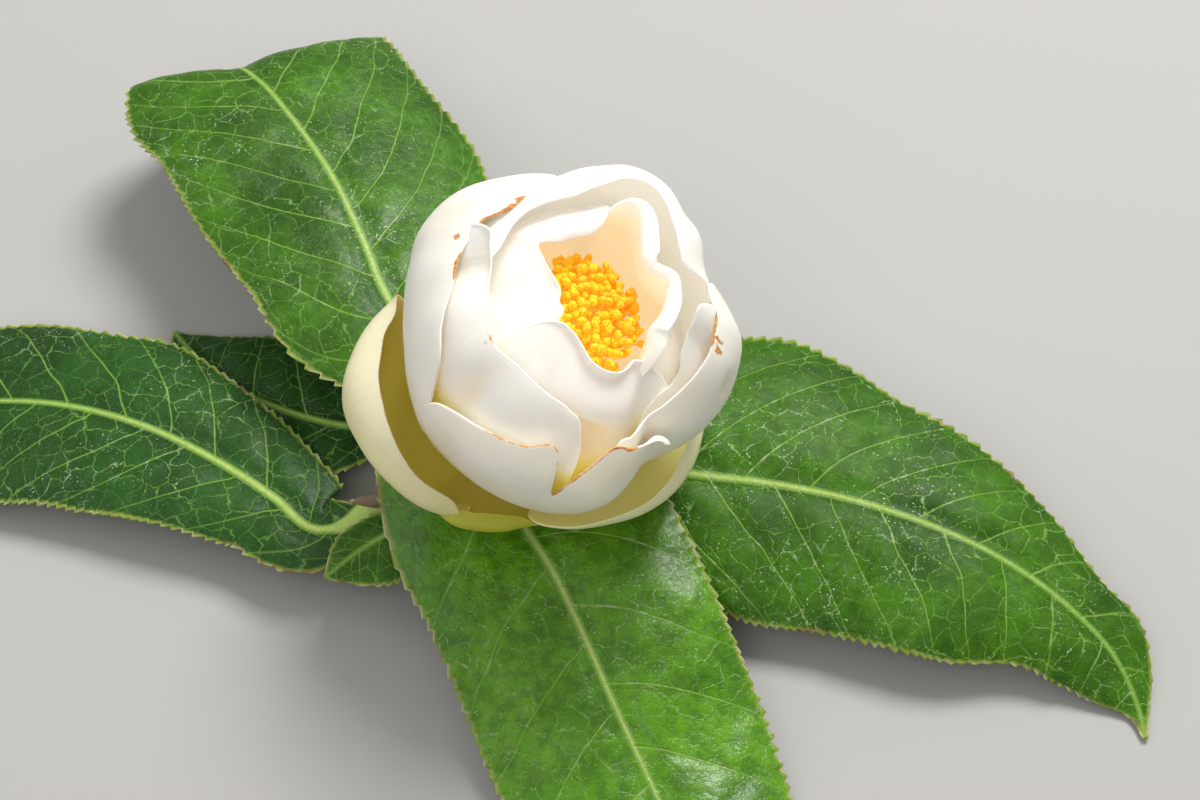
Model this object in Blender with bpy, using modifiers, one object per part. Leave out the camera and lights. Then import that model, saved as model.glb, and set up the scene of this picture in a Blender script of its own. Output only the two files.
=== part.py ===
"""A half-open white camellia on its own short sprig, laid on a table.

The sprig is the flower, the five sepals under it, six leaves and the cut twig. The flower faces up
and leans a little to the front right. The sprig rests on the tips of its leaves and the twig's cut end.
Lengths in the tables below are millimetres and angles are degrees. The meshes are made in metres.

Every petal and sepal is a patch of its own cup around the flower's axis, each cup nested in the next
one out, so neighbours wrap closely round each other and never meet. A cup's side view is a cubic
curve: out from the seat on the receptacle, round the belly, and in to the mouth. The patch takes the
azimuths that its rows name, and each row says how far up the cup its edge reaches there.
"""

from math import cos, pi, radians, sin

import bmesh
import bpy
import numpy as np
from mathutils import Matrix, Vector

MM = 0.001

# The flower's seat on the sprig and its lean. Azimuth 0 is +X, 90 is +Y.
FLOWER_SEAT = (0.0, 0.0, 22.0)
FLOWER_LEAN = 16.3
FLOWER_LEANS_TO = -36.9
# This puts the middle of the whole sprig's box over the origin.
SPRIG_SHIFT = (14.1, 5.95, -0.24)

PETAL_THICKNESS = 0.5
SEPAL_THICKNESS = 0.45
CLAW_RADIUS = 4.7
RECEPTACLE_RADIUS = 4.1
GAP = 0.3

# Each row: azimuth, mouth radius, mouth height, and how much of the cup's side the petal covers.
PETALS = {
    "petal_1_front": {
        "belly": 25.4, "seat": 0.2, "shoulder": 0.70, "spread": 0.7, "across": 26,
        "rows": [
            (212, 19, 40, 0.72), (216, 19, 40, 0.77), (222, 19, 40, 0.81), (234, 19, 40, 0.85),
            (250, 19, 40, 0.875), (258.5, 19, 40, 0.90), (260.5, 19, 40, 0.89), (264.3, 19, 40, 0.72),
            (268, 19, 40, 0.79), (274.5, 19, 40, 0.88), (278, 19, 40, 0.92), (288, 20, 40, 0.90),
            (297, 21, 40, 0.87), (304, 22, 40, 0.85), (308, 22, 40, 0.80),
        ],
    },
    "petal_2_back": {
        "belly": 24.6, "seat": 0.2, "shoulder": 0.70,
        "rows": [
            (32, 22, 38, 0.45), (42, 22, 38, 0.65), (65, 23, 38, 0.76), (92, 22, 38, 0.72),
            (106, 22, 38, 0.5),
        ],
    },
    "petal_3_left": {
        "belly": 24.2, "seat": 0.8, "shoulder": 0.72,
        "rows": [
            (110, 17.5, 39, 0.5), (114, 17.5, 39, 0.74), (120, 17.6, 39.4, 0.90), (129, 17.6, 40, 1.0),
            (140, 17.5, 39.7, 1.0), (148, 19.0, 38.5, 1.0), (158, 19.0, 38.2, 1.0), (174, 19.5, 37.5, 1.0),
            (182, 19.5, 37.5, 0.98), (195, 19.3, 38, 0.92), (208, 19, 38, 0.83), (213, 19, 38, 0.73),
        ],
    },
    "petal_4_right": {
        "belly": 24.5, "seat": 0.8, "shoulder": 0.72,
        "lean": [(278, 0.97), (305, 0.965), (330, 1)],
        "rows": [
            (280, 18, 39.5, 0.80), (282, 18, 39.5, 0.88), (287, 18, 39.5, 0.95), (297, 18, 39.5, 0.97),
            (318, 17.6, 39.5, 0.95), (330, 17.6, 39.5, 0.97), (341, 18, 39.5, 0.99), (352, 17.5, 40, 1.0),
            (365, 17.3, 40.5, 1.0), (373, 17, 40.5, 0.97), (379, 17, 40, 0.88), (383, 17, 40, 0.65),
        ],
    },
    "petal_5_front_left": {
        "belly": 23.2, "seat": 1.55, "shoulder": 0.74,
        "lean": [(146, 0.935), (154, 0.93), (162, 0.94), (173, 0.985), (188, 1), (270, 1)],
        "rows": [
            (146, 16, 41, 0.6), (150, 16.6, 42, 0.85), (155, 16.8, 42, 0.99), (160, 16.4, 41, 1.0),
            (172, 15.1, 39.7, 1.0), (199, 15.2, 39.2, 1.0), (212, 15.8, 39, 0.985), (232, 15.8, 38.7, 1.0),
            (250, 16.8, 38, 1.0), (262, 17, 37.5, 0.98), (268, 17, 37.5, 0.93), (270, 17, 37, 0.86),
        ],
    },
    "petal_6_back": {
        "belly": 22.8, "seat": 2.2, "shoulder": 0.85,
        "lean": [
            (8, 0.92), (22, 0.93), (38, 1), (108, 1), (120, 0.96), (138, 0.88), (150, 0.86), (173, 0.87),
        ],
        "rows": [
            (8, 16, 39, 0.5), (13, 16, 39.5, 0.8), (20, 15.2, 40, 0.95), (31, 15.5, 41, 1.0),
            (54, 17.8, 41.8, 1.0), (66, 18.8, 42, 1.0), (76, 17.8, 42, 1.0), (87, 16, 42, 1.0),
            (102, 14.3, 41.5, 1.0), (129, 13.6, 40.5, 1.0), (148, 14.2, 39, 1.0), (160, 14.2, 38, 0.97),
            (168, 14, 37.5, 0.9), (173, 14, 37, 0.7),
        ],
    },
    "petal_7_front_right": {
        "belly": 21.9, "seat": 2.2, "shoulder": 0.74,
        "rows": [
            (298, 13.8, 37, 0.7), (303, 13.8, 37.2, 0.88), (309, 13.8, 37.5, 0.96), (316, 13.7, 37.8, 1.0),
            (330, 13.4, 39, 1.0), (340, 13.6, 40.3, 1.0), (350, 14.8, 41.3, 1.0), (354, 15.5, 41.2, 0.99),
            (360, 16.3, 40, 0.94), (365, 16.7, 39, 0.8),
        ],
    },
    "petal_8_front": {
        "belly": 20.4, "seat": 2.9, "shoulder": 0.80,
        "rows": [
            (203, 9, 39, 0.72), (208, 8.7, 39.5, 0.88), (216, 8.2, 40, 0.97), (228, 7.5, 40, 1.0),
            (240, 7.0, 39.6, 1.0), (250, 7.0, 39, 1.0), (264, 8.3, 38.3, 1.0), (274, 9.8, 37.8, 1.0),
            (288, 11, 37.5, 1.0), (304, 11.7, 37, 1.0), (314, 12.3, 36.5, 0.95), (320, 12.6, 36, 0.85),
            (323, 12.8, 36, 0.7),
        ],
    },
    "petal_9_left": {
        "belly": 18.9, "seat": 3.6, "shoulder": 0.97, "across": 24,
        "lean": [(77, 1), (115, 1), (136, 0.95), (180, 0.95), (205, 0.96), (243, 0.95)],
        "rows": [
            (77, 12, 38.5, 0.75), (79, 11.6, 39, 0.93), (84, 11, 39.2, 1.0), (99, 10.4, 39.3, 1.0),
            (121, 10, 39.5, 1.0), (133, 11.2, 39.5, 1.0), (137.5, 11.6, 39.2, 1.0), (146, 8.1, 38.6, 1.0),
            (158, 6.2, 38.3, 1.0), (170, 5.1, 38, 1.0), (195, 4.8, 38, 1.0), (220, 5.8, 37.6, 1.0),
            (232, 7, 36.5, 0.95), (240, 8, 35.5, 0.85), (243, 9, 35, 0.75),
        ],
    },
    "petal_10_right": {
        "belly": 17.2, "seat": 4.3, "shoulder": 0.92, "across": 20,
        "lean": [(-60, 0.83), (-42, 0.87), (-20, 0.95), (0, 1), (82, 1)],
        "rows": [
            (-60, 11, 37, 0.6), (-55, 10.8, 38, 0.85), (-42, 10.3, 39, 0.97), (-23, 10.3, 40, 1.0),
            (-10, 10.6, 40, 1.0), (7, 10.7, 40, 1.0), (14, 10.4, 40, 1.0), (21, 8.7, 40, 1.0),
            (29, 8.5, 40, 1.0), (38, 9, 40, 1.0), (54, 11.6, 40, 1.0), (64, 13.7, 40, 1.0),
            (70, 14.2, 39.6, 0.96), (74, 14.3, 38.5, 0.75),
        ],
    },
}

# Sepals are free of the petals' squeeze. A lean row is an azimuth and a factor on the cup's radius there.
UPRIGHT = [(0, 1), (360, 1)]
SEPALS = {
    "sepal_1_left": {
        "free": True, "belly": 30.4, "seat": -1.5, "shoulder": 0.70, "spread": 0.6, "claw": 30,
        "lean": [
            (150, 0.80), (160, 0.82), (168, 0.87), (180, 0.94), (193, 0.99), (205, 0.975), (217, 0.95),
            (232, 0.93), (240, 0.90),
        ],
        "rows": [
            (150, 28, 18, 0.5), (155, 28, 18, 0.72), (160, 28, 18, 0.85), (166, 27.5, 18, 0.94),
            (178, 27.5, 18, 0.98), (193, 27.5, 18, 1.0), (207, 28.5, 18, 1.0), (219, 30, 18, 0.98),
            (228, 31, 17, 0.92), (233, 31, 16, 0.8), (236, 31, 16, 0.55),
        ],
    },
    "sepal_2_front": {
        "free": True, "belly": 23.4, "seat": -0.4, "shoulder": 0.80, "spread": 0.6, "claw": 20,
        "lean": [(226, 1.0), (240, 1.0), (250, 0.95), (264, 0.90)],
        "rows": [
            (229, 23, 8, 0.45), (234, 23, 8, 0.75), (240, 23, 7.5, 0.9), (249, 22.5, 7, 0.92),
            (257, 22, 6.5, 0.85), (261, 22, 6, 0.5),
        ],
    },
    "sepal_3_front_right": {
        "free": True, "belly": 25.0, "seat": -0.4, "shoulder": 0.75, "spread": 0.6, "claw": 30,
        "lean": [(260, 0.92), (277, 0.93), (300, 0.95), (320, 0.96), (345, 0.97)],
        "rows": [
            (264, 25, 12, 0.5), (268, 25, 12, 0.66), (277, 25, 12, 0.74), (290, 25, 12, 0.85),
            (305, 24.5, 12, 0.96), (320, 23.5, 12, 1.0), (335, 22.5, 12, 1.0), (346, 22, 12, 0.9),
            (353, 22, 12, 0.65),
        ],
    },
    "sepal_4_back_right": {
        "free": True, "belly": 25.5, "seat": -0.4, "shoulder": 0.75, "spread": 0.6, "claw": 28,
        "rows": [
            (0, 23, 11, 0.6), (8, 23, 11, 0.85), (28, 22.5, 12, 1.0), (50, 23, 11, 0.85),
            (58, 23, 11, 0.6),
        ],
    },
    "sepal_5_back_left": {
        "free": True, "belly": 26.5, "seat": -0.4, "shoulder": 0.75, "spread": 0.6, "claw": 28,
        "rows": [
            (62, 24, 12, 0.6), (70, 24, 12, 0.85), (95, 24, 12, 1.0), (122, 24, 12, 0.85),
            (132, 24, 12, 0.6),
        ],
    },
}

# Each midrib runs from the end of the leaf's stalk to its tip. The stalk is the first part of it. Each
# row of sides is a share of the midrib, and the blade's half width there on its right and on its left.
# Slant turns a fold from square across the blade, on its right and on its left.
LEAVES = {
    "leaf_1_right": {
        "stalk": 0.05, "roll": [(0, 0), (0.12, 9), (0.35, 9), (0.7, 2), (1, 0)], "fold": 0.10, "arch": 0.24,
        "midrib": [
            (0.4, 0.1, 14.6), (11, -3.8, 12.8), (24, -5.6, 12.5), (37, -7.5, 12.4), (48, -10, 12.1),
            (59.5, -14, 11.4), (69.5, -18.6, 10), (80, -25.8, 7.4), (87, -32.8, 4.2), (90.5, -41, 1.2),
            (91, -45, 0.7),
        ],
        "sides": [
            (0, 1.1, 1.1), (0.05, 1.1, 1.1), (0.1, 8, 11), (0.17, 15, 19), (0.25, 20, 25), (0.33, 21.9, 26.8),
            (0.4, 21.9, 24.5), (0.46, 21.4, 21.2), (0.57, 20.7, 18.3), (0.69, 18.3, 12.9), (0.8, 11.6, 8.2),
            (0.86, 9.8, 7.7), (0.92, 6.6, 4.2), (0.97, 1.4, 1.3), (1, 0.3, 0.3),
        ],
    },
    "leaf_2_front": {
        "stalk": 0.045, "roll": [(0, 0), (0.1, 6), (0.35, 8), (0.65, 2), (1, 0)], "fold": 0.10, "arch": 0.22,
        "midrib": [
            (-4.8, -2.2, 14.0), (-4.3, -9, 15.8), (-1.8, -16.6, 15.9), (2.3, -23.5, 15), (7, -33, 12.6),
            (11.5, -43, 9.7), (16.3, -53, 6.4), (20.5, -62, 4.3), (25, -72, 3), (30, -83, 1.9),
            (34, -92, 0.9),
        ],
        "sides": [
            (0, 1.1, 1.1), (0.045, 1.1, 1.1), (0.06, 8, 6), (0.08, 14, 11), (0.1, 16.8, 13.5), (0.15, 19.4, 16.5),
            (0.25, 21, 19.4), (0.36, 20.8, 20.3),
            (0.6, 20.2, 19.8), (0.7, 18.5, 18), (0.8, 14.5, 14), (0.89, 8.5, 8), (0.96, 2.6, 2.4), (1, 0.3, 0.3),
        ],
    },
    "leaf_3_back_left": {
        "stalk": 0.05, "roll": [(0, 0), (0.2, 3), (1, 3)], "fold": 0.08, "arch": 0.20, "slant": (-0.08, -0.54),
        "folds_at": 0.7, "along": 24,
        "midrib": [
            (-3.2, 3.4, 16.6), (-10, 8.4, 18.6), (-16.5, 14, 20), (-22.7, 20.8, 20.8), (-27.5, 32.4, 21.5),
            (-33.1, 45.1, 22.2), (-40, 56.7, 22.5), (-46, 65.2, 22.3), (-49.6, 69.3, 21), (-51.6, 71.6, 17.5),
            (-53, 73.2, 11.5), (-54.3, 75, 5), (-56, 77.5, 0.9),
        ],
        "sides": [
            (0, 1.1, 1.1), (0.05, 1.1, 1.1), (0.1, 7, 7), (0.17, 13.5, 13), (0.25, 19, 17.3), (0.37, 22.5, 20.2),
            (0.48, 25, 22.7), (0.6, 24.1, 23.6), (0.66, 24.1, 22.6), (0.77, 24, 22.5), (0.84, 19.5, 19),
            (0.91, 12, 11.5), (0.97, 4, 4), (1, 0.3, 0.3),
        ],
    },
    "leaf_4_left": {
        "stalk": 0.06, "roll": [(0, 0), (0.4, 0), (1, 0)], "fold": 0.10, "arch": 0.16,
        "midrib": [
            (-18.3, -7.0, 7.9), (-25, -10.6, 7.6), (-34, -12.6, 7.7), (-40.5, -7, 7.9), (-51.5, 0.7, 8.2),
            (-63, 7, 7.8), (-78, 12, 6.2), (-92, 13.5, 4), (-107, 11.5, 1.9), (-121, 5, 0.7),
        ],
        "sides": [
            (0, 1.1, 1.1), (0.06, 1.1, 1.1), (0.1, 5, 4.5), (0.15, 8.5, 8), (0.23, 10.4, 10.8), (0.31, 12.6, 13.2),
            (0.4, 14.9, 15.8), (0.48, 17, 17.4), (0.56, 16, 18.3), (0.68, 16, 18.6), (0.78, 14, 16),
            (0.87, 9.5, 10.5), (0.95, 3.6, 3.8), (1, 0.3, 0.3),
        ],
    },
    "leaf_5_behind": {
        "stalk": 0.16, "roll": [(0, 0), (1, 0)], "fold": 0.08, "arch": 0.12,
        "midrib": [
            (-12, 0.7, 8.8), (-22, 6, 6.6), (-33, 9, 4.9), (-45, 14.5, 3.7), (-54, 22, 2.4), (-60, 30, 0.8),
        ],
        "sides": [
            (0, 1.1, 1.1), (0.16, 1.1, 1.1), (0.26, 6, 6), (0.4, 11, 11), (0.55, 13.6, 13.6), (0.68, 13.6, 13.6),
            (0.8, 10.5, 10.5), (0.9, 6, 6), (0.96, 2.4, 2.4), (1, 0.3, 0.3),
        ],
    },
    "leaf_6_small": {
        "stalk": 0.16, "roll": [(0, 0), (1, 0)], "fold": 0.08, "arch": 0.10,
        "midrib": [
            (-11.6, -5.8, 9.0), (-16, -10.8, 9.9), (-22, -14.8, 10.2), (-27, -18.4, 10.1), (-31.5, -22.5, 9.7),
        ],
        "sides": [
            (0, 1.1, 1.1), (0.16, 1, 1), (0.28, 2.6, 4.2), (0.45, 4.2, 7), (0.62, 4.8, 8.2), (0.78, 4.4, 7.2),
            (0.9, 2.6, 4.4), (0.97, 0.9, 1.4), (1, 0.3, 0.3),
        ],
    },
}
STALK_THICKNESS = 1.8
BLADE_THICKNESS = 0.5

TWIG_PATH = [
    (-0.6, 0.5, 18.6), (-2.3, 0.9, 15), (-6.5, -0.6, 10.6), (-15, -3.6, 6.4), (-31, -7, 3.1),
    (-46, -8.2, 2.4),
]
TWIG_RADIUS = (1.9, 2.2)

# The stamens' feet stand evenly round the filament tube's rim, and their anthers fill three rings.
STAMENS = 24
STAMEN_FOOT_RADIUS = 3.7
ANTHER_RINGS = {"inner": (2.6, 36.0), "middle": (5.4, 35.0), "outer": (8.6, 32.5)}
FILAMENT_TUBE_TOP = 16.0


def clear_scene():
    for obj in list(bpy.data.objects):
        bpy.data.objects.remove(obj)


def curve_through(rows, x):
    """The values at x of smooth curves through the rows (x, a, b, ...), level past both ends."""
    table = np.array(rows, float)
    at, values = table[:, 0], table[:, 1:]
    x = np.clip(np.asarray(x, float), at[0], at[-1])
    gap = np.diff(at)[:, None]
    slope = np.diff(values, axis=0) / gap
    share = gap[:-1] / (gap[:-1] + gap[1:])
    tangent = np.concatenate([slope[:1], slope[:-1] * (1 - share) + slope[1:] * share, slope[-1:]])
    i = np.clip(np.searchsorted(at, x, side="right") - 1, 0, len(at) - 2)
    h = gap[i]
    t = ((x - at[i]) / gap[i, 0])[..., None]
    start = (1 + 2 * t) * (1 - t) ** 2 * values[i] + t * (1 - t) ** 2 * h * tangent[i]
    return start + t**2 * (3 - 2 * t) * values[i + 1] + t**2 * (t - 1) * h * tangent[i + 1]


def cup_squeeze(azimuth):
    """The petals' cups are pressed in at the front right and swell at the front left."""
    def near(centre, width):
        return np.exp(-((((azimuth - centre + 180) % 360 - 180) / width) ** 2))

    pressed_width = np.where((azimuth - 303 + 180) % 360 < 180, 13, 28)
    return 1 - 0.18 * near(303, pressed_width) + 0.02 * near(255, 30) - 0.02 * near(180, 25)


def cup_point(spec, azimuth, t):
    """Points on a petal's or sepal's cup, t running from the seat (0) to the mouth (1)."""
    mouth = curve_through([row[:3] for row in spec["rows"]], azimuth)
    mouth_radius, mouth_height = mouth[:, 0], mouth[:, 1]
    seat = spec["seat"]
    floor_radius = 0.93 * spec["belly"]
    # The belly is widest near t = 0.6, where the four weights are those of a cubic Bezier curve.
    side_radius = (spec["belly"] - 0.064 * CLAW_RADIUS - 0.288 * floor_radius - 0.216 * mouth_radius) / 0.432
    side_height = seat + spec["shoulder"] * (mouth_height - seat)
    weights = (1 - t) ** 3, 3 * (1 - t) ** 2 * t, 3 * (1 - t) * t**2, t**3
    radius = weights[0] * CLAW_RADIUS + weights[1] * floor_radius
    radius = radius + weights[2] * side_radius + weights[3] * mouth_radius
    height = (weights[0] + weights[1]) * seat + weights[2] * side_height + weights[3] * mouth_height
    lean = curve_through(spec.get("lean", UPRIGHT), azimuth)[:, 0]
    if not spec.get("free"):
        lean = lean * cup_squeeze(azimuth)
    radius = radius * (1 + (lean - 1) * np.clip(t / 0.4, 0, 1))
    angle = np.radians(azimuth)
    return np.stack([radius * np.cos(angle), radius * np.sin(angle), height], 1)


def petal_points(spec, u, v):
    """Points of a petal: u runs across it and v from its claw to its edge, both 0 to 1."""
    first, last = spec["rows"][0][0], spec["rows"][-1][0]
    top = first + (last - first) * u
    claw = (first + last) / 2 + spec.get("claw", 24) * (2 * u - 1)
    t = v * curve_through([(row[0], row[3]) for row in spec["rows"]], top)[:, 0]
    opening = np.sin(np.clip(t / spec.get("spread", 0.5), 0, 1) * pi / 2)
    return cup_point(spec, claw + (top - claw) * opening, t)


def path_direction(rows, at):
    ahead = curve_through(rows, np.clip(at + 0.01, 0.01, 1)) - curve_through(rows, np.clip(at - 0.01, 0, 0.99))
    return ahead / np.linalg.norm(ahead, axis=1)[:, None]


def leaf_points(spec, u, v):
    """Points of a leaf: u runs from the stalk to the tip, and v from its right edge to its left."""
    path = np.array(spec["midrib"], float)
    length = np.concatenate([[0], np.cumsum(np.linalg.norm(np.diff(path, axis=0), axis=1))])
    rows = np.column_stack([length / length[-1], path])
    sides = curve_through(spec["sides"], u)
    c = 2 * v - 1
    half = np.where(c < 0, sides[:, 0], sides[:, 1])
    # On a leaf that folds over aslant, the lines across it run along the fold, not square to the midrib.
    slant = np.where(c < 0, *spec.get("slant", (0, 0)))
    aslant = slant * np.clip((u - 0.4) / 0.2, 0, 1) * half * c
    along = u + aslant / length[-1]
    forward = path_direction(rows, along)
    flat_forward = path_direction(rows, np.minimum(along, spec.get("folds_at", 1)))
    centre = curve_through(rows, along) + forward * (np.maximum(along - 1, 0) * length[-1])[:, None]
    centre = centre - flat_forward * aslant[:, None]
    left = np.cross([0, 0, 1], flat_forward)
    left /= np.linalg.norm(left, axis=1)[:, None]
    above = np.cross(forward, left)
    above /= np.linalg.norm(above, axis=1)[:, None]
    roll = np.radians(curve_through(spec["roll"], u))
    left, above = left * np.cos(roll) + above * np.sin(roll), above * np.cos(roll) - left * np.sin(roll)
    lift = half * (spec["fold"] * np.abs(c) - spec["arch"] * c**2)
    return centre + left * (half * c)[:, None] + above * lift[:, None]


def make_material(name, colour, roughness, subsurface=0.0):
    material = bpy.data.materials.new(name)
    material.use_nodes = True
    shader = material.node_tree.nodes["Principled BSDF"]
    shader.inputs["Base Color"].default_value = (*colour, 1)
    shader.inputs["Roughness"].default_value = roughness
    shader.inputs["Subsurface Weight"].default_value = subsurface
    material.diffuse_color = (*colour, 1)
    return material


def make_sheet(name, parent, material, cells, place, thickness, weight=None):
    """A grid whose points go where place(u, v) says, thickened on both sides."""
    mesh = bpy.data.meshes.new(name)
    sheet = bmesh.new()
    bmesh.ops.create_grid(sheet, x_segments=cells[0], y_segments=cells[1], size=0.5)
    flat = np.array([vert.co for vert in sheet.verts])
    u, v = flat[:, 0] + 0.5, flat[:, 1] + 0.5
    for vert, point in zip(sheet.verts, place(u, v)):
        vert.co = Vector(point) * MM
    sheet.to_mesh(mesh)
    sheet.free()
    mesh.shade_smooth()
    mesh.materials.append(material)
    obj = bpy.data.objects.new(name, mesh)
    parts.objects.link(obj)
    obj.parent = parent
    solidify = obj.modifiers.new("Thickness", "SOLIDIFY")
    solidify.thickness = thickness * MM
    solidify.offset = 0
    if weight:
        group = obj.vertex_groups.new(name="thickness")
        for index, value in enumerate(weight(u)):
            group.add([index], float(value), "REPLACE")
        solidify.vertex_group = group.name
    return obj


def make_turned(name, parent, material, profile, steps=20, closed=False):
    """A profile of (radius, height) turned about the parent's Z axis, outer side from top to bottom."""
    mesh = bpy.data.meshes.new(name)
    edges = [(i, i + 1) for i in range(len(profile) - 1)]
    if closed:
        edges.append((len(profile) - 1, 0))
    mesh.from_pydata([(radius * MM, 0, height * MM) for radius, height in profile], edges, [])
    mesh.materials.append(material)
    obj = bpy.data.objects.new(name, mesh)
    parts.objects.link(obj)
    obj.parent = parent
    screw = obj.modifiers.new("Turn", "SCREW")
    screw.steps = screw.render_steps = steps
    screw.use_merge_vertices = True
    screw.merge_threshold = 0.00001
    screw.use_smooth_shade = True
    return obj


def make_tube(name, parent, material, points, radii, resolution=1):
    """A round tube through the points, with its own radius at each one and closed ends."""
    path = bpy.data.curves.new(name, "CURVE")
    path.dimensions = "3D"
    path.bevel_depth = MM
    path.bevel_resolution = resolution
    path.use_fill_caps = True
    spline = path.splines.new("POLY")
    spline.points.add(len(points) - 1)
    for target, point, radius in zip(spline.points, points, radii):
        target.co = (*(Vector(point) * MM), 1)
        target.radius = radius
    spline.use_smooth = True
    path.materials.append(material)
    obj = bpy.data.objects.new(name, path)
    parts.objects.link(obj)
    obj.parent = parent
    return obj


def make_empty(name, parent=None):
    empty = bpy.data.objects.new(name, None)
    parts.objects.link(empty)
    empty.parent = parent
    return empty


def flower_matrix():
    """Local Z is the flower's axis, and local X is world X turned square to it."""
    tilt, towards = radians(FLOWER_LEAN), radians(FLOWER_LEANS_TO)
    axis = Vector((sin(tilt) * cos(towards), sin(tilt) * sin(towards), cos(tilt)))
    across = (Vector((1, 0, 0)) - axis * axis.x).normalized()
    turn = Matrix((across, axis.cross(across), axis)).transposed().to_4x4()
    return Matrix.Translation(Vector(FLOWER_SEAT) * MM) @ turn


def make_petals(flower):
    white = make_material("petal", (0.86, 0.83, 0.76), 0.45, 0.2)
    for name, spec in PETALS.items():
        def place(u, v, spec=spec):
            return petal_points(spec, u, v)

        make_sheet(name, flower, white, (spec.get("across", 15), 7), place, PETAL_THICKNESS)


def make_sepals(flower):
    cream = make_material("sepal", (0.55, 0.56, 0.25), 0.5, 0.1)
    for name, spec in SEPALS.items():
        def place(u, v, spec=spec):
            return petal_points(spec, u, v)

        make_sheet(name, flower, cream, (12, 6), place, SEPAL_THICKNESS)


def make_leaves(sprig):
    green = make_material("leaf", (0.05, 0.16, 0.02), 0.35)
    for name, spec in LEAVES.items():
        def place(u, v, spec=spec):
            return leaf_points(spec, u, v)

        def weight(u, spec=spec):
            into_blade = np.clip((u - spec["stalk"]) / 0.08, 0, 1)
            return 1 - into_blade * (1 - BLADE_THICKNESS / STALK_THICKNESS)

        make_sheet(name, sprig, green, (spec.get("along", 18), 6), place, STALK_THICKNESS, weight)


def make_twig(sprig):
    bark = make_material("bark", (0.16, 0.10, 0.05), 0.8)
    rows = [(i, *point) for i, point in enumerate(TWIG_PATH)]
    steps = np.linspace(0, len(TWIG_PATH) - 1, 16)
    radii = np.linspace(*TWIG_RADIUS, len(steps))
    return make_tube("twig", sprig, bark, curve_through(rows, steps), radii, resolution=2)


def make_flower_centre(flower):
    green = make_material("receptacle", (0.30, 0.36, 0.12), 0.6)
    yellow = make_material("filament", (0.80, 0.62, 0.18), 0.5)
    r = RECEPTACLE_RADIUS
    dome = [(0, 6.4), (2.4, 6.4), (r - 0.3, 6.1), (r, 5.4), (r, -1.2), (3.1, -2.3), (1.9, -2.9), (0, -2.9)]
    make_turned("receptacle", flower, green, dome)
    seat = 6.4 + GAP
    tube = [
        (3.2, FILAMENT_TUBE_TOP), (4.2, FILAMENT_TUBE_TOP), (3.9, 11), (3.7, seat), (2.3, seat), (2.5, 11),
    ]
    make_turned("filament_tube", flower, yellow, tube, closed=True)
    stigma = [(0, 33.5), (0.8, 33.3), (0.9, 32.6), (0.5, 31.8)]
    ovary = [(0.5, 14), (1.0, 11.5), (1.7, 9.5), (1.5, 7.4), (0.9, seat), (0, seat)]
    make_turned("pistil", flower, yellow, stigma + ovary, steps=10)


def make_stamens(flower):
    """Each stamen rises from the tube's rim, bends outwards and ends in a plump anther."""
    orange = make_material("anther", (0.90, 0.48, 0.02), 0.6)
    foot = FILAMENT_TUBE_TOP + GAP
    # Each station: how far out and how far up the stamen it is, and its radius there.
    stations = [
        (0, 0, 0.28), (0.12, 0.35, 0.26), (0.45, 0.72, 0.24), (0.88, 0.93, 0.3), (0.95, 0.955, 0.8),
        (1.04, 1, 0.6),
    ]
    for slot in range(STAMENS):
        inside = "inner" if slot // 2 % 3 == 0 else "middle"
        radius, height = ANTHER_RINGS["outer" if slot % 2 == 0 else inside]
        angle = 2 * pi * slot / STAMENS
        top = height + 0.7 * sin(3.0 * slot)
        points = []
        for out, up, _ in stations:
            r = STAMEN_FOOT_RADIUS + (radius - STAMEN_FOOT_RADIUS) * out
            points.append((r * cos(angle), r * sin(angle), foot + (top - foot) * up))
        make_tube(f"stamen_{slot + 1:02d}", flower, orange, points, [station[2] for station in stations])


clear_scene()
parts = bpy.data.collections.new("camellia_flower")
bpy.context.scene.collection.children.link(parts)
sprig = make_empty("sprig_frame")
sprig.location = Vector(SPRIG_SHIFT) * MM
flower = make_empty("flower_frame", sprig)
flower.matrix_local = flower_matrix()
make_petals(flower)
make_sepals(flower)
make_leaves(sprig)
make_twig(sprig)
make_flower_centre(flower)
make_stamens(flower)
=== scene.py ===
# %% [markdown]
# # A half-open camellia on its cut sprig
# This lesson models one white camellia bloom, its sepals, six glossy leaves and the cut twig that
# carries them. A plain solid model of the same sprig is loaded first. It fixes where every petal and
# leaf goes, and each cell below builds the detailed piece that stands in for one of its solids.

# %% Load the plain model
from math import cos, pi, radians, sin

import bpy
import numpy as np
from mathutils import Euler, Matrix, Vector


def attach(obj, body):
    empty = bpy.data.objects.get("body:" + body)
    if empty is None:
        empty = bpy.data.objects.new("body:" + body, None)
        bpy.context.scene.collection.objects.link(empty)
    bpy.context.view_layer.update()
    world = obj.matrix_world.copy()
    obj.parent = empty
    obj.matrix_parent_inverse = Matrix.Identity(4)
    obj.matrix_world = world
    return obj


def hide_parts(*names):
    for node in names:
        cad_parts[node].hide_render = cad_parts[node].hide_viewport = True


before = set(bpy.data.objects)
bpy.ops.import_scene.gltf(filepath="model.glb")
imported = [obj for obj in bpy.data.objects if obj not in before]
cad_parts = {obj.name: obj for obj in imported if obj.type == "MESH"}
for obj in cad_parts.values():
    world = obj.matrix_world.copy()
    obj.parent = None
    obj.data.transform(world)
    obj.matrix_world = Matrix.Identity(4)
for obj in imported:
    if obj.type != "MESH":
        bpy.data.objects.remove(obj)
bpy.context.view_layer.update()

MM = 0.001

# %% [markdown]
# ## Where the bloom sits
# A real bloom grows on a short stalk and faces its own way. It is easiest to shape each petal round an
# upright axis and then lean the finished bloom, so one matrix takes the bloom's own axes to the table's.

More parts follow.
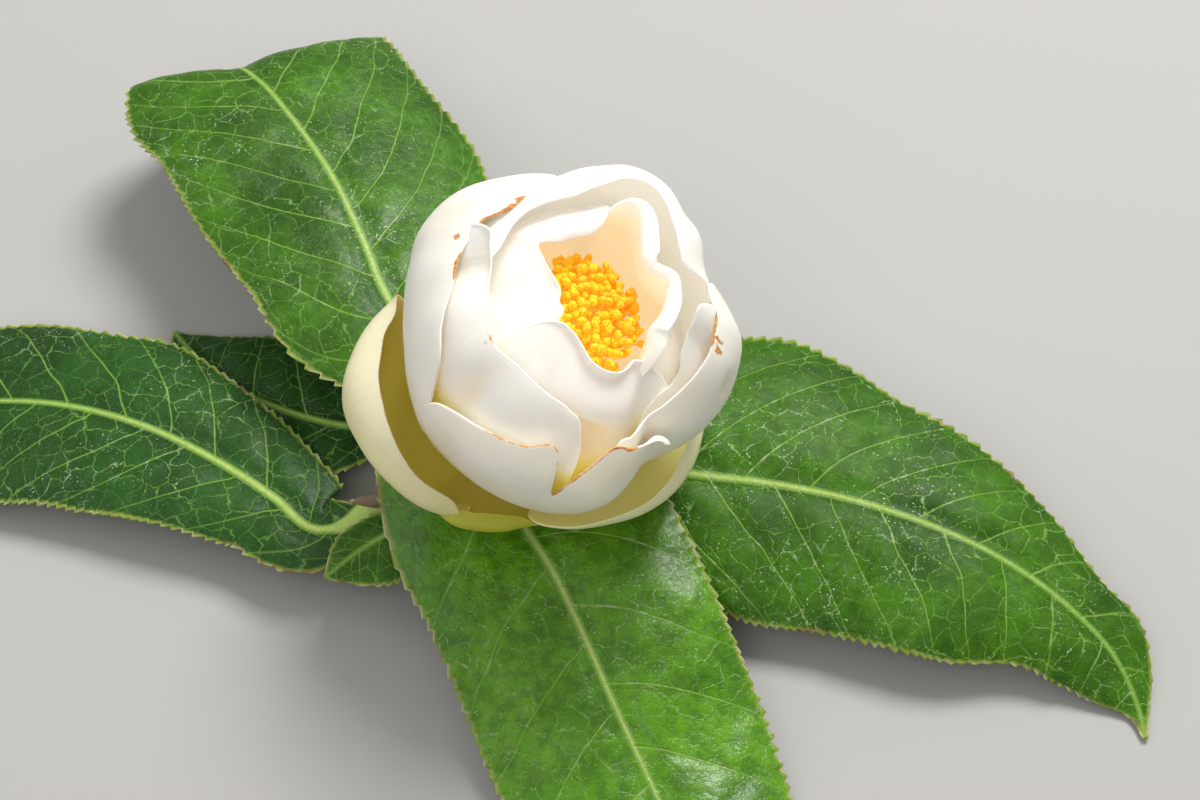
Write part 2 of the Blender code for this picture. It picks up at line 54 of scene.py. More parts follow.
# %% The bloom's place and lean
BLOOM_SEAT = Vector((0.0, 0.0, 22.0))
BLOOM_LEAN, BLOOM_LEANS_TO = radians(16.3), radians(-36.9)
SPRIG_SHIFT = Vector((14.1, 5.95, -0.24))


def bloom_matrix():
    aside = sin(BLOOM_LEAN)
    axis = Vector((aside * cos(BLOOM_LEANS_TO), aside * sin(BLOOM_LEANS_TO), cos(BLOOM_LEAN)))
    across = (Vector((1, 0, 0)) - axis * axis.x).normalized()
    turn = Matrix((across, axis.cross(across), axis)).transposed().to_4x4()
    return Matrix.Translation((BLOOM_SEAT + SPRIG_SHIFT) * MM) @ turn @ Matrix.Scale(MM, 4)


BLOOM = np.array(bloom_matrix())
SPRIG = np.array(Matrix.Translation(SPRIG_SHIFT * MM) @ Matrix.Scale(MM, 4))
print("the bloom's axis leans", round(np.degrees(BLOOM_LEAN), 1), "degrees")

# %% [markdown]
# ## Smooth curves through a few rows
# Petals are described by short tables: at this angle, the mouth is this wide and this high. A smooth
# curve through the rows gives every value in between, as a draughtsman's spline does.


# %% Curves and soft bumps
def curve_through(rows, x):
    """The values at x of smooth curves through the rows (x, a, b, ...), level past both ends."""
    table = np.array(rows, float)
    at, values = table[:, 0], table[:, 1:]
    x = np.clip(np.asarray(x, float), at[0], at[-1])
    gap = np.diff(at)[:, None]
    slope = np.diff(values, axis=0) / gap
    share = gap[:-1] / (gap[:-1] + gap[1:])
    tangent = np.concatenate([slope[:1], slope[:-1] * (1 - share) + slope[1:] * share, slope[-1:]])
    i = np.clip(np.searchsorted(at, x, side="right") - 1, 0, len(at) - 2)
    h = gap[i]
    t = ((x - at[i]) / gap[i, 0])[..., None]
    start = (1 + 2 * t) * (1 - t) ** 2 * values[i] + t * (1 - t) ** 2 * h * tangent[i]
    return start + t**2 * (3 - 2 * t) * values[i + 1] + t**2 * (t - 1) * h * tangent[i + 1]


def curve_value(rows, x):
    return curve_through(rows, x)[..., 0]


def near(value, centre, width):
    """A soft bump, 1 at the centre. Angles wrap round at 360."""
    return np.exp(-((((value - centre + 180) % 360 - 180) / width) ** 2))


def soft_step(value, low, high):
    t = np.clip((value - low) / (high - low), 0, 1)
    return t * t * (3 - 2 * t)


def unit(vectors):
    return vectors / np.maximum(np.linalg.norm(vectors, axis=-1, keepdims=True), 1e-12)


def ripple(points, size, seed=0):
    """A gentle uneven swell from -1 to 1, about size across, the same at the same place."""
    random = np.random.default_rng(seed)
    total = np.zeros(len(points))
    for _ in range(7):
        direction = unit(random.normal(size=3)) * random.uniform(0.7, 1.5) * 2 * pi / size
        total += np.sin(points @ direction + random.uniform(0, 2 * pi))
    return total / 4


def ripples(points, *rows):
    """Ripples added up, from rows of how deep, how wide and which pattern."""
    return sum(depth * ripple(points, size, seed) for depth, size, seed in rows)


# %% [markdown]
# ## One cup for each petal
# The petals of a half-open camellia wrap round each other like nested cups. Each petal here is a patch
# cut from its own cup: out from the seat, round the belly and in to the mouth. The rows say, at each
# angle, how wide and high the mouth is and how far up the cup the petal reaches, which draws its rim.

# %% The petals' tables, in millimetres and degrees
# Belly is a cup's greatest radius, seat the height of its foot and shoulder how high up it turns
# inwards. Claw is half the angle that the foot spans, and spread how far up the petal has widened. A lean
# row is an azimuth and the share of the cup's radius kept there. The other rows are an azimuth, the
# radius and height of the mouth, and how far up the cup the petal reaches. A free cup stands off the
# rest, and cells says how fine the petal's grid is.
CLAW_RADIUS = 4.7
PETALS = {
    "petal_1_front": {
        "belly": 23.7, "seat": 0.2, "shoulder": 0.7, "spread": 0.92, "cells": (96, 40),
        "lean": [(209, 1.03), (222, 1.01), (240, 1), (262, 1), (275, 1.01), (288, 1.03), (309, 1.04)],
        "rows": [
            (209, 20.3, 40, 0.68), (214, 20.3, 40, 0.745), (221, 20.3, 40, 0.79), (234, 20.3, 40, 0.833),
            (250, 20.3, 40, 0.865), (258.5, 20.3, 40, 0.9), (260.5, 20.3, 40, 0.885),
            (264.3, 20.3, 40, 0.67), (268, 20.3, 40, 0.76), (274.5, 20.3, 40, 0.88),
            (278, 20.3, 40, 0.925), (288, 20.6, 40, 0.888), (297, 21, 40, 0.828), (305, 21.5, 40, 0.79),
            (309, 22, 40, 0.755),
        ],
    },
    "petal_2_back": {
        "belly": 24.6, "seat": 0.2, "shoulder": 0.7,
        "rows": [
            (32, 22, 38, 0.45), (42, 22, 38, 0.65), (65, 23, 38, 0.76), (92, 22, 38, 0.72),
            (106, 22, 38, 0.5),
        ],
    },
    "petal_3_left": {
        "belly": 24.2, "seat": 0.8, "shoulder": 0.72,
        "lean": [
            (94, 0.98), (106, 1), (118, 1.05), (128, 1.1), (137, 1.125), (147, 1.1), (157, 1.04),
            (168, 1), (213, 1),
        ],
        "rows": [
            (94, 18, 37.5, 0.6), (100, 18, 38, 0.85), (108, 18.1, 38.6, 0.96), (118, 17.3, 39, 1),
            (124, 16.2, 39.4, 1), (130, 15.6, 39.6, 1), (139, 15.4, 39.6, 1), (146, 17, 38.8, 1),
            (158, 18.4, 38.2, 1), (174, 19.7, 37.5, 1), (182, 19.5, 37.5, 0.98), (195, 19.3, 38, 0.92),
            (208, 19, 38, 0.83), (213, 19, 38, 0.73),
        ],
    },
    "petal_4_right": {
        "belly": 24.5, "seat": 0.8, "shoulder": 0.72,
        "lean": [
            (278, 0.945), (300, 0.955), (312, 0.975), (330, 1), (352, 0.995), (364, 0.965), (374, 0.93),
            (386, 0.9),
        ],
        "rows": [
            (280, 18, 39.5, 0.8), (283, 18, 39.5, 0.86), (290, 18, 39.5, 0.855), (300, 18, 39.5, 0.845),
            (307, 17.8, 39.5, 0.86), (314, 17.6, 39.5, 0.89), (322, 17.6, 39.5, 0.925),
            (330, 17.6, 39.5, 0.955), (338, 18, 39.5, 0.98), (346, 17.7, 39.8, 0.99),
            (354, 17.6, 39.8, 0.99), (361, 17.5, 39.6, 0.985), (368, 17.5, 39.2, 0.975),
            (374, 17.6, 38.6, 0.95), (379, 17.8, 38, 0.89), (383, 18, 38, 0.78), (386, 18, 38, 0.6),
        ],
    },
    "petal_5_front_left": {
        "belly": 22, "seat": 1.55, "shoulder": 0.74,
        "lean": [(146, 0.955), (154, 0.95), (162, 0.955), (173, 0.985), (188, 1), (270, 1)],
        "rows": [
            (146, 17.6, 41, 0.6), (150, 18, 42, 0.845), (155, 17.8, 41.8, 0.99), (161, 17.1, 41, 1),
            (172, 15.7, 39.7, 1), (199, 15.6, 39.2, 1), (212, 15.9, 39, 0.985), (232, 15.8, 38.7, 1),
            (250, 16.8, 38, 1), (262, 17.2, 37.5, 0.98), (268, 17.4, 37.5, 0.927), (270, 17.4, 37, 0.845),
        ],
    },
    "petal_6_back": {
        "belly": 22.2, "seat": 2.2, "shoulder": 0.84,
        "lean": [
            (8, 0.92), (22, 0.93), (38, 1), (108, 1), (120, 0.96), (138, 0.88), (150, 0.86), (173, 0.87),
        ],
        "rows": [
            (8, 16, 39, 0.5), (13, 16, 39.5, 0.8), (20, 15.2, 40, 0.95), (31, 15.4, 40.8, 1),
            (54, 17.4, 41.3, 1), (66, 18.3, 41.4, 1), (76, 17.6, 41.4, 1), (87, 16.1, 41.4, 1),
            (103, 15.1, 41.1, 1), (120, 15.7, 40.9, 1), (131, 16.8, 40.5, 1), (141, 17.5, 40, 1),
            (150, 17.6, 39.6, 1), (160, 17.4, 39, 0.99), (168, 17.2, 38.5, 0.93), (173, 17, 38, 0.75),
        ],
    },
    "petal_7_front_right": {
        "belly": 21.9, "seat": 2.2, "shoulder": 0.74,
        "rows": [
            (298, 13.8, 37, 0.62), (304, 13.8, 37.2, 0.79), (311, 13.8, 37.5, 0.85),
            (319, 13.7, 38, 0.88), (331, 13.4, 39.1, 0.95), (340, 13.6, 40.3, 0.965),
            (347, 14.4, 41.2, 0.985), (352, 15, 41.6, 1), (355.5, 15.5, 41.6, 1),
            (359, 15.9, 41.2, 0.965), (363, 16.3, 40, 0.86), (366, 16.7, 39, 0.7),
        ],
    },
    "petal_8_front": {
        "belly": 20.4, "seat": 2.9, "shoulder": 0.8,
        "rows": [
            (203, 9, 39, 0.72), (208, 8.7, 39.5, 0.88), (216, 8.2, 40, 0.97), (228, 7.5, 40, 1),
            (240, 7.2, 39.6, 1), (250, 7.6, 39.2, 1), (262, 9, 38.8, 1), (272, 11.2, 38.4, 1),
            (286, 13, 38, 1), (303, 14, 37.5, 1), (314, 14, 37, 0.96), (320, 14, 36.5, 0.87),
            (323, 14, 36, 0.7),
        ],
    },
    "petal_9_left": {
        "belly": 18.9, "seat": 3.6, "shoulder": 0.97, "cells": (96, 40),
        "lean": [
            (77, 0.91), (90, 0.88), (115, 0.87), (136, 0.87), (152, 0.91), (175, 0.95), (205, 0.96),
            (243, 0.95),
        ],
        "rows": [
            (77, 15.2, 38.5, 0.8), (80, 14.5, 39, 0.96), (85, 13.3, 39.2, 1), (92, 12.3, 39.3, 1),
            (103, 11.7, 39.4, 1), (121, 11.7, 39.5, 1), (133, 12.5, 39.5, 1), (138.5, 12.8, 39.2, 1),
            (146, 9.9, 38.9, 1), (158, 7.2, 38.6, 1), (170, 6, 38.3, 1), (195, 5.5, 38, 1),
            (220, 6.2, 37.6, 1), (232, 7, 36.5, 0.95), (240, 8, 35.5, 0.85), (243, 9, 35, 0.75),
        ],
    },
    "petal_10_right": {
        "belly": 17.2, "seat": 4.3, "shoulder": 0.92, "upright": 0.9, "cells": (96, 44),
        "lean": [(-60, 0.83), (-42, 0.87), (-20, 0.95), (0, 1), (82, 1)],
        "rows": [
            (-60, 18, 37, 0.6), (-54, 17.4, 38.3, 0.88), (-47, 15.4, 39.2, 0.97), (-38, 12.6, 39.8, 1),
            (-23, 11.1, 40, 1), (-10, 10.7, 40, 1), (3, 10.7, 40, 1), (11, 10.9, 40, 1), (17, 9.9, 40, 1),
            (24, 8.8, 40, 1), (31, 8.6, 40, 1), (41, 9.1, 40, 1), (49, 10.4, 40, 1), (57, 12.4, 40, 1),
            (65, 14.2, 40, 1), (73, 14.2, 39.6, 0.99), (82, 13.4, 38.3, 0.95), (92, 12.8, 37, 0.9),
            (100, 12.6, 36, 0.8),
        ],
    },
}
SEPALS = {
    "sepal_1_left": {
        "free": True, "belly": 30.4, "seat": -1.5, "shoulder": 0.7, "spread": 0.6, "claw": 30,
        "lean": [
            (150, 0.8), (160, 0.83), (168, 0.88), (180, 0.95), (193, 1.01), (205, 0.99), (217, 0.94),
            (228, 0.88), (236, 0.82), (243, 0.765),
        ],
        "rows": [
            (150, 28, 18, 0.5), (155, 28, 18, 0.72), (160, 28, 18, 0.85), (166, 27.5, 18, 0.94),
            (178, 27.3, 18, 0.98), (190, 27.3, 18, 1), (197, 27.7, 18, 1), (204, 28.4, 17.8, 1),
            (211, 29.3, 17, 1), (219, 30.4, 15.2, 1), (226, 30.8, 13.2, 1), (231, 30.6, 12, 0.99),
            (235, 29.8, 11.2, 0.94), (238.5, 29, 10.7, 0.84), (241, 28.4, 10.4, 0.68),
            (243, 28, 10.2, 0.4),
        ],
    },
    "sepal_2_front": {
        "free": True, "belly": 23.4, "seat": -0.6, "shoulder": 0.78, "spread": 0.6, "claw": 22,
        "lean": [(222, 1), (230, 1.04), (240, 1.06), (248, 1.01), (256, 0.95), (264, 0.88), (273, 0.85)],
        "rows": [
            (225, 24, 8, 0.4), (230, 24, 8, 0.75), (237, 23.2, 8, 0.95), (245, 22.6, 7.6, 0.98),
            (254, 22.2, 7, 0.97), (262, 22.2, 6.5, 0.9), (268, 22, 6.5, 0.7), (273, 22, 6, 0.4),
        ],
    },
    "sepal_3_front_right": {
        "free": True, "belly": 25, "seat": -0.4, "shoulder": 0.75, "spread": 0.6, "claw": 30,
        "lean": [(264, 0.84), (278, 0.865), (293, 0.88), (308, 0.915), (321, 0.94), (353, 0.945)],
        "rows": [
            (264, 26, 12, 0.5), (268, 26, 12, 0.66), (277, 26, 12, 0.76), (290, 26.3, 12, 0.88),
            (305, 26.2, 12, 0.97), (320, 25.2, 12, 1), (335, 24, 12, 1), (346, 23, 12, 0.9),
            (353, 23, 12, 0.65),
        ],
    },
    "sepal_4_back_right": {
        "free": True, "belly": 25.5, "seat": -0.4, "shoulder": 0.75, "spread": 0.6, "claw": 28,
        "rows": [
            (0, 23, 11, 0.6), (8, 23, 11, 0.85), (28, 22.5, 12, 1), (50, 23, 11, 0.85), (58, 23, 11, 0.6),
        ],
    },
    "sepal_5_back_left": {
        "free": True, "belly": 26.5, "seat": -0.4, "shoulder": 0.75, "spread": 0.6, "claw": 28,
        "rows": [
            (62, 24, 12, 0.6), (70, 24, 12, 0.85), (95, 24, 12, 1), (122, 24, 12, 0.85),
            (132, 24, 12, 0.6),
        ],
    },
}
print(len(PETALS), "petals and", len(SEPALS), "sepals")


# %% The cup and the patch cut from it
# A cup's section is a Bezier curve, which is this far along where it reaches the belly's radius. Its
# second point lies on the floor, at this share of that radius.
BELLY_AT, FLOOR_SHARE = 0.6, 0.93
# A cup leans in full from this far up, and an upright one turns to the vertical between two heights.
LEAN_FROM, UPRIGHT_HEIGHTS = 0.4, (22, 36)
NO_LEAN = [(0, 1), (360, 1)]
# The petals' cups are pressed in at the front right and swell at the front left. A squeeze row is an
# azimuth, its widths below and above that azimuth, and its share of the radius.
SQUEEZES = [(303, 13, 28, -0.18), (255, 30, 30, 0.02), (180, 25, 25, -0.02)]


def bezier_weights(t):
    return (1 - t) ** 3, 3 * (1 - t) ** 2 * t, 3 * (1 - t) * t**2, t**3


def cup_squeeze(azimuth):
    """How much of its radius a petal's cup keeps at each azimuth."""
    kept = 1
    for centre, below, above, share in SQUEEZES:
        width = np.where((azimuth - centre + 180) % 360 < 180, below, above)
        kept = kept + share * near(azimuth, centre, width)
    return kept


def cup_point(spec, azimuth, t):
    """Points on a petal's cup, t running from the seat (0) to the mouth (1)."""
    mouth = curve_through([row[:3] for row in spec["rows"]], azimuth)
    mouth_radius, mouth_height = mouth[:, 0], mouth[:, 1]
    seat = spec["seat"]
    floor_radius = FLOOR_SHARE * spec["belly"]
    claw, floor, side, rim = bezier_weights(BELLY_AT)
    side_radius = (spec["belly"] - claw * CLAW_RADIUS - floor * floor_radius - rim * mouth_radius) / side
    side_height = seat + spec["shoulder"] * (mouth_height - seat)
    claw, floor, side, rim = bezier_weights(t)
    radius = claw * CLAW_RADIUS + floor * floor_radius + side * side_radius + rim * mouth_radius
    height = (claw + floor) * seat + side * side_height + rim * mouth_height
    upright = spec.get("upright", 0) * soft_step(height, *UPRIGHT_HEIGHTS)
    radius = mouth_radius + (radius - mouth_radius) * (1 - upright)
    lean = curve_value(spec.get("lean", NO_LEAN), azimuth)
    if not spec.get("free"):
        lean = lean * cup_squeeze(azimuth)
    radius = radius * (1 + (lean - 1) * np.clip(t / LEAN_FROM, 0, 1))
    angle = np.radians(azimuth)
    return np.stack([radius * np.cos(angle), radius * np.sin(angle), height], 1)


def patch_angles(spec, u, v):
    """For each point of the patch: its azimuth, how far up the cup it is, and the azimuth of its rim."""
    first, last = spec["rows"][0][0], spec["rows"][-1][0]
    top = first + (last - first) * u
    claw = (first + last) / 2 + spec.get("claw", 24) * (2 * u - 1)
    t = v * curve_value([(row[0], row[3]) for row in spec["rows"]], top)
    opening = np.sin(np.clip(t / spec.get("spread", 0.5), 0, 1) * pi / 2)
    return claw + (top - claw) * opening, t, top


def patch_point(spec, u, v):
    azimuth, t, _ = patch_angles(spec, u, v)
    return cup_point(spec, azimuth, t)


# %% [markdown]
# ## The camera and the light
# The sprig lies on a pale table and is seen from above, as a short telephoto lens sees it. Three large
# soft lamps light it: a bright one high on the right, a broad one behind the camera and a dim one at the
# left, so that the white petals still show their folds.

# %% Camera
CAMERA_ELEVATION = 55.0
camera_data = bpy.data.cameras.new("camera")
camera_data.lens, camera_data.sensor_width = 85.0, 36.0
camera = bpy.data.objects.new("camera", camera_data)
bpy.context.scene.collection.objects.link(camera)
camera.location = (0.02397, -0.23958, 0.37480)
camera.rotation_euler = (radians(90 - CAMERA_ELEVATION), 0, 0)
bpy.context.scene.camera = camera
print("camera at", [round(c, 3) for c in camera.location])


# %% Lamps, sky and table
LIT_PLACE = Vector((0.014, 0.006, 0.035))


def soft_lamp(name, azimuth, elevation, distance, size, power, colour):
    """A square soft box that faces the bloom. Azimuth 0 stands it at +X and 90 at +Y."""
    lamp = bpy.data.lights.new(name, "AREA")
    lamp.size, lamp.energy, lamp.color = size, power, colour
    holder = bpy.data.objects.new(name, lamp)
    bpy.context.scene.collection.objects.link(holder)
    a, e = radians(azimuth), radians(elevation)
    towards = Vector((cos(a) * cos(e), sin(a) * cos(e), sin(e)))
    holder.location = LIT_PLACE + towards * distance
    holder.rotation_euler = towards.to_track_quat("Z", "Y").to_euler()


soft_lamp("key_lamp", 60, 57, 0.75, 0.32, 5.9, (1.0, 0.975, 0.93))
soft_lamp("front_lamp", -110, 50, 0.9, 0.5, 1.5, (1.0, 0.99, 0.97))
soft_lamp("left_lamp", 170, 35, 0.9, 0.6, 1.0, (1.0, 0.99, 0.98))
world = bpy.data.worlds.new("studio")
bpy.context.scene.world = world
world.use_nodes = True
sky = world.node_tree.nodes["Background"].inputs
sky["Color"].default_value = (1.0, 0.98, 0.95, 1)
sky["Strength"].default_value = 0.42
bpy.context.scene.view_settings.view_transform = "Standard"

bpy.ops.object.select_all(action="DESELECT")
bpy.ops.mesh.primitive_plane_add(size=6.0, location=(0, 0, -0.0002))
table = bpy.context.active_object
table.name = table.data.name = "table"
card = bpy.data.materials.new("pale card")
card.use_nodes = True
shader = card.node_tree.nodes["Principled BSDF"]
shader.inputs["Base Color"].default_value = (0.43, 0.43, 0.425, 1)
shader.inputs["Roughness"].default_value = 0.8
table.data.materials.append(card)
print("lamps and table ready")


# %% [markdown]
# ## Small helpers for shader nodes
# Every finish below is a tree of shader nodes. A few helpers keep those trees readable: they add a node
# with its settings and inputs, do arithmetic, turn a measured range into a mask and blend colours. Each
# finds the tree that it works in from the values it is given.


# %% Node helpers
def is_output(value):
    return isinstance(value, bpy.types.NodeSocket)


def set_sockets(node, sockets):
    """Sets a node's inputs to numbers and colours, or joins them to other nodes' outputs."""
    for key, value in sockets.items():
        if is_output(value):
            node.id_data.links.new(value, node.inputs[key])
        else:
            node.inputs[key].default_value = value


def add_node(tree, kind, sockets=None, **settings):
    made = tree.nodes.new(kind)
    for key, value in settings.items():
        setattr(made, key, value)
    set_sockets(made, sockets or {})
    return made


def tree_of(*values):
    return next(value.id_data for value in values if is_output(value))


def maths(operation, *values):
    made = add_node(tree_of(*values), "ShaderNodeMath", dict(enumerate(values)), operation=operation)
    return made.outputs[0]


def times(a, b):
    return maths("MULTIPLY", a, b)


def scaled(value, factor, offset):
    """The value times the factor, plus the offset."""
    return maths("MULTIPLY_ADD", value, factor, offset)


def mask(value, low, high):
    """0 below low and 1 above high, or the other way round if low is the larger."""
    ends = (low, high, 0.0, 1.0) if low < high else (high, low, 1.0, 0.0)
    sockets = dict(zip(("Value", "From Min", "From Max", "To Min", "To Max"), (value, *ends)))
    made = add_node(tree_of(value), "ShaderNodeMapRange", sockets, interpolation_type="SMOOTHSTEP")
    return made.outputs["Result"]


def blend_colour(factor, a, b):
    """Colour a turns into colour b as the factor goes from 0 to 1."""
    a, b = (value if is_output(value) else (*value, 1) for value in (a, b))
    made = add_node(tree_of(factor, a, b), "ShaderNodeMix", {0: factor, 6: a, 7: b}, data_type="RGBA")
    return made.outputs[2]


def layered(colour, *layers):
    """A colour with layers over it, each a mask and its own colour."""
    for share, tint in layers:
        colour = blend_colour(share, colour, tint)
    return colour


def noise(vector, scale, detail=2.0, roughness=0.5):
    sockets = {"Vector": vector, "Scale": scale, "Detail": detail, "Roughness": roughness}
    return add_node(tree_of(vector), "ShaderNodeTexNoise", sockets).outputs["Fac"]


def attribute(tree, name):
    return add_node(tree, "ShaderNodeAttribute", attribute_name=name).outputs["Fac"]


def bump(height, distance, strength, normal=None):
    sockets = {"Height": height, "Distance": distance, "Strength": strength}
    if normal is not None:
        sockets["Normal"] = normal
    return add_node(tree_of(height), "ShaderNodeBump", sockets).outputs["Normal"]


# %% Materials and groups
def new_material(name):
    """A material, its tree, its Principled shader and the place on the piece that its patterns follow."""
    made = bpy.data.materials.new(name)
    made.use_nodes = True
    place = add_node(made.node_tree, "ShaderNodeTexCoord").outputs["Object"]
    return made, made.node_tree, made.node_tree.nodes["Principled BSDF"], place


def new_group(name, inputs, outputs):
    """A node group, with a vector for Place and floats for the rest: it, its inputs and its last node."""
    made = bpy.data.node_groups.new(name, "ShaderNodeTree")
    for in_out, labels in (("INPUT", inputs), ("OUTPUT", outputs)):
        for label in labels:
            kind = "NodeSocketVector" if label == "Place" else "NodeSocketFloat"
            made.interface.new_socket(name=label, in_out=in_out, socket_type=kind)
    return made, made.nodes.new("NodeGroupInput").outputs, made.nodes.new("NodeGroupOutput")


# %% [markdown]
# ## Groups that several finishes share
# Petals and sepals dry out along their rims first, so the same browned edge appears on most of them. It
# is built once as a node group: it takes the distance from the rim and how dry the petal is there, and
# gives back a mask. Fine fibres that run up a petal are the second shared effect.

# %% Dried rim and petal fibres
dried_rim, given, result = new_group("dried rim", ("Place", "Rim", "Dryness", "Width"), ("Mask", "Dark"))
uneven = noise(given["Place"], 700.0, 3.0)
reach = times(times(given["Width"], scaled(uneven, 3.2, -0.9)), given["Dryness"])
past_reach = maths("SUBTRACT", given["Rim"], reach)
dry = times(mask(given["Dryness"], 0.05, 0.35), mask(past_reach, 0.08, -0.10))
set_sockets(result, {"Mask": dry, "Dark": mask(noise(given["Place"], 2600.0), 0.42, 0.62)})

petal_fibres, given, result = new_group("petal fibres", ("Across", "Up"), ("Height",))
stretched = add_node(petal_fibres, "ShaderNodeCombineXYZ", {"X": given["Across"], "Y": given["Up"]})
set_sockets(result, {"Height": noise(stretched.outputs[0], 1.0, 3.0, 0.55)})
print("shared groups:", [group.name for group in bpy.data.node_groups])


# %% [markdown]
# ## The petal's finish
# A camellia petal is thick, waxy and slightly see-through. Light that enters it scatters and comes out
# warmer, which is why the hollows of a white bloom glow peach. Subsurface scattering does part of this,
# and painted light does the rest: a faint glow and a warmer colour on the side that faces the stamens.
# The dents are tinted tan as painted shade. The base of each petal is creamy yellow and the upper part
# nearly pure white, and low on the outer petals that creamy colour is partly painted shade.

# %% Petal material
# The first colour tints random patches and, as painted shade, the dented hollows. The others are the dried
# rim's browns.
TONE_AND_HOLLOW_SHADE, DRY, DARK_DRY = (0.80, 0.67, 0.47), (0.68, 0.31, 0.09), (0.30, 0.11, 0.03)


def petal_finish(name, upper, lower, inner, low_end, high_end, dry_colour=DRY, painted_glow=(0, 0, 0)):
    """Upper and lower are the colours outside. Lower is the colour low down, the petal's creamy base, and
    on the outer petals it is partly painted shade. Inner is the colour of the side that faces the stamens,
    painted warmer on the petals for the light that bounces round the cavity and darker on the sepals for
    the shade in their hollows. Painted glow is painted light, a faint emission on that inner side that
    stands in for light come through many thin layers."""
    made, tree, shader, place = new_material(name)
    rim, inside = attribute(tree, "rim_mm"), attribute(tree, "inner")
    height = scaled(noise(place, 130.0), 0.16, maths("SUBTRACT", attribute(tree, "rise"), 0.08))
    # Random warm patches, plus painted shade in the dents that grows with their depth.
    tone_and_hollow_shade = scaled(mask(noise(place, 70.0), 0.45, 0.75), 0.12, times(attribute(tree, "hollow"), 0.36))
    across, up = attribute(tree, "across_mm"), attribute(tree, "up_mm")
    sockets = {"Across": times(across, 1.3), "Up": times(up, 0.10)}
    fibres = add_node(tree, "ShaderNodeGroup", sockets, node_tree=petal_fibres)
    sockets = {"Place": place, "Width": 0.42, "Rim": rim, "Dryness": attribute(tree, "dryness")}
    edge = add_node(tree, "ShaderNodeGroup", sockets, node_tree=dried_rim)
    stained = scaled(noise(place, 520.0, 3.0), 1.1, attribute(tree, "stain"))
    spots = maths("MAXIMUM", edge.outputs["Mask"], mask(stained, 1.12, 1.28))
    colour = layered(
        # From the lower colour to the upper with height. Low on the outer petals the lower colour is
        # partly painted shade.
        blend_colour(mask(height, low_end, high_end), lower, upper),
        # The inner side's colour is painted light and shade, fading towards the upper colour near the rim.
        (inside, blend_colour(times(mask(rim, 8.0, 0.0), 0.6), inner, upper)),
        (tone_and_hollow_shade, TONE_AND_HOLLOW_SHADE),
        (spots, blend_colour(times(edge.outputs["Dark"], 0.7), dry_colour, DARK_DRY)),
    )
    fine = bump(noise(place, 1500.0), 0.00004, 0.3)
    set_sockets(shader, {
        "Base Color": colour,
        "Roughness": scaled(spots, 0.3, scaled(noise(place, 420.0), 0.16, 0.38)),
        "Normal": bump(fibres.outputs["Height"], 0.00020, 0.45, fine),
        "Subsurface Weight": 0.7, "Subsurface Radius": (1.0, 0.82, 0.62), "Subsurface Scale": 0.0011,
        "Specular IOR Level": 0.35,
        # Painted light: the inner side glows faintly, standing in for light come through the petals.
        "Emission Color": blend_colour(inside, (0, 0, 0), painted_glow), "Emission Strength": 1.0,
    })
    return made


outer_petal = petal_finish(
    "outer petal", (0.95, 0.895, 0.815), (0.86, 0.74, 0.50), (0.92, 0.87, 0.78), 0.15, 0.70,
    painted_glow=(0.10, 0.09, 0.075),
)
white_petal = petal_finish(
    "white petal", (0.96, 0.925, 0.87), (0.86, 0.77, 0.12), (0.94, 0.91, 0.86), 0.60, 0.76,
    painted_glow=(0.20, 0.19, 0.175),
)
inner_petal = petal_finish(
    "inner petal", (0.96, 0.93, 0.88), (0.84, 0.72, 0.20), (0.94, 0.87, 0.76), 0.34, 0.60,
    painted_glow=(0.19, 0.168, 0.128),
)
print("petal finishes ready")

# %% [markdown]
# ## Petals from a flat grid
# Each petal starts as a flat grid. Its points move onto the patch of its cup. Near the rim the surface
# can roll outwards or inwards along an arc, as real petals do when they open. Solidify gives the sheet
# its thickness, thinner towards the rim, and Subdivision Surface rounds the cut edge.

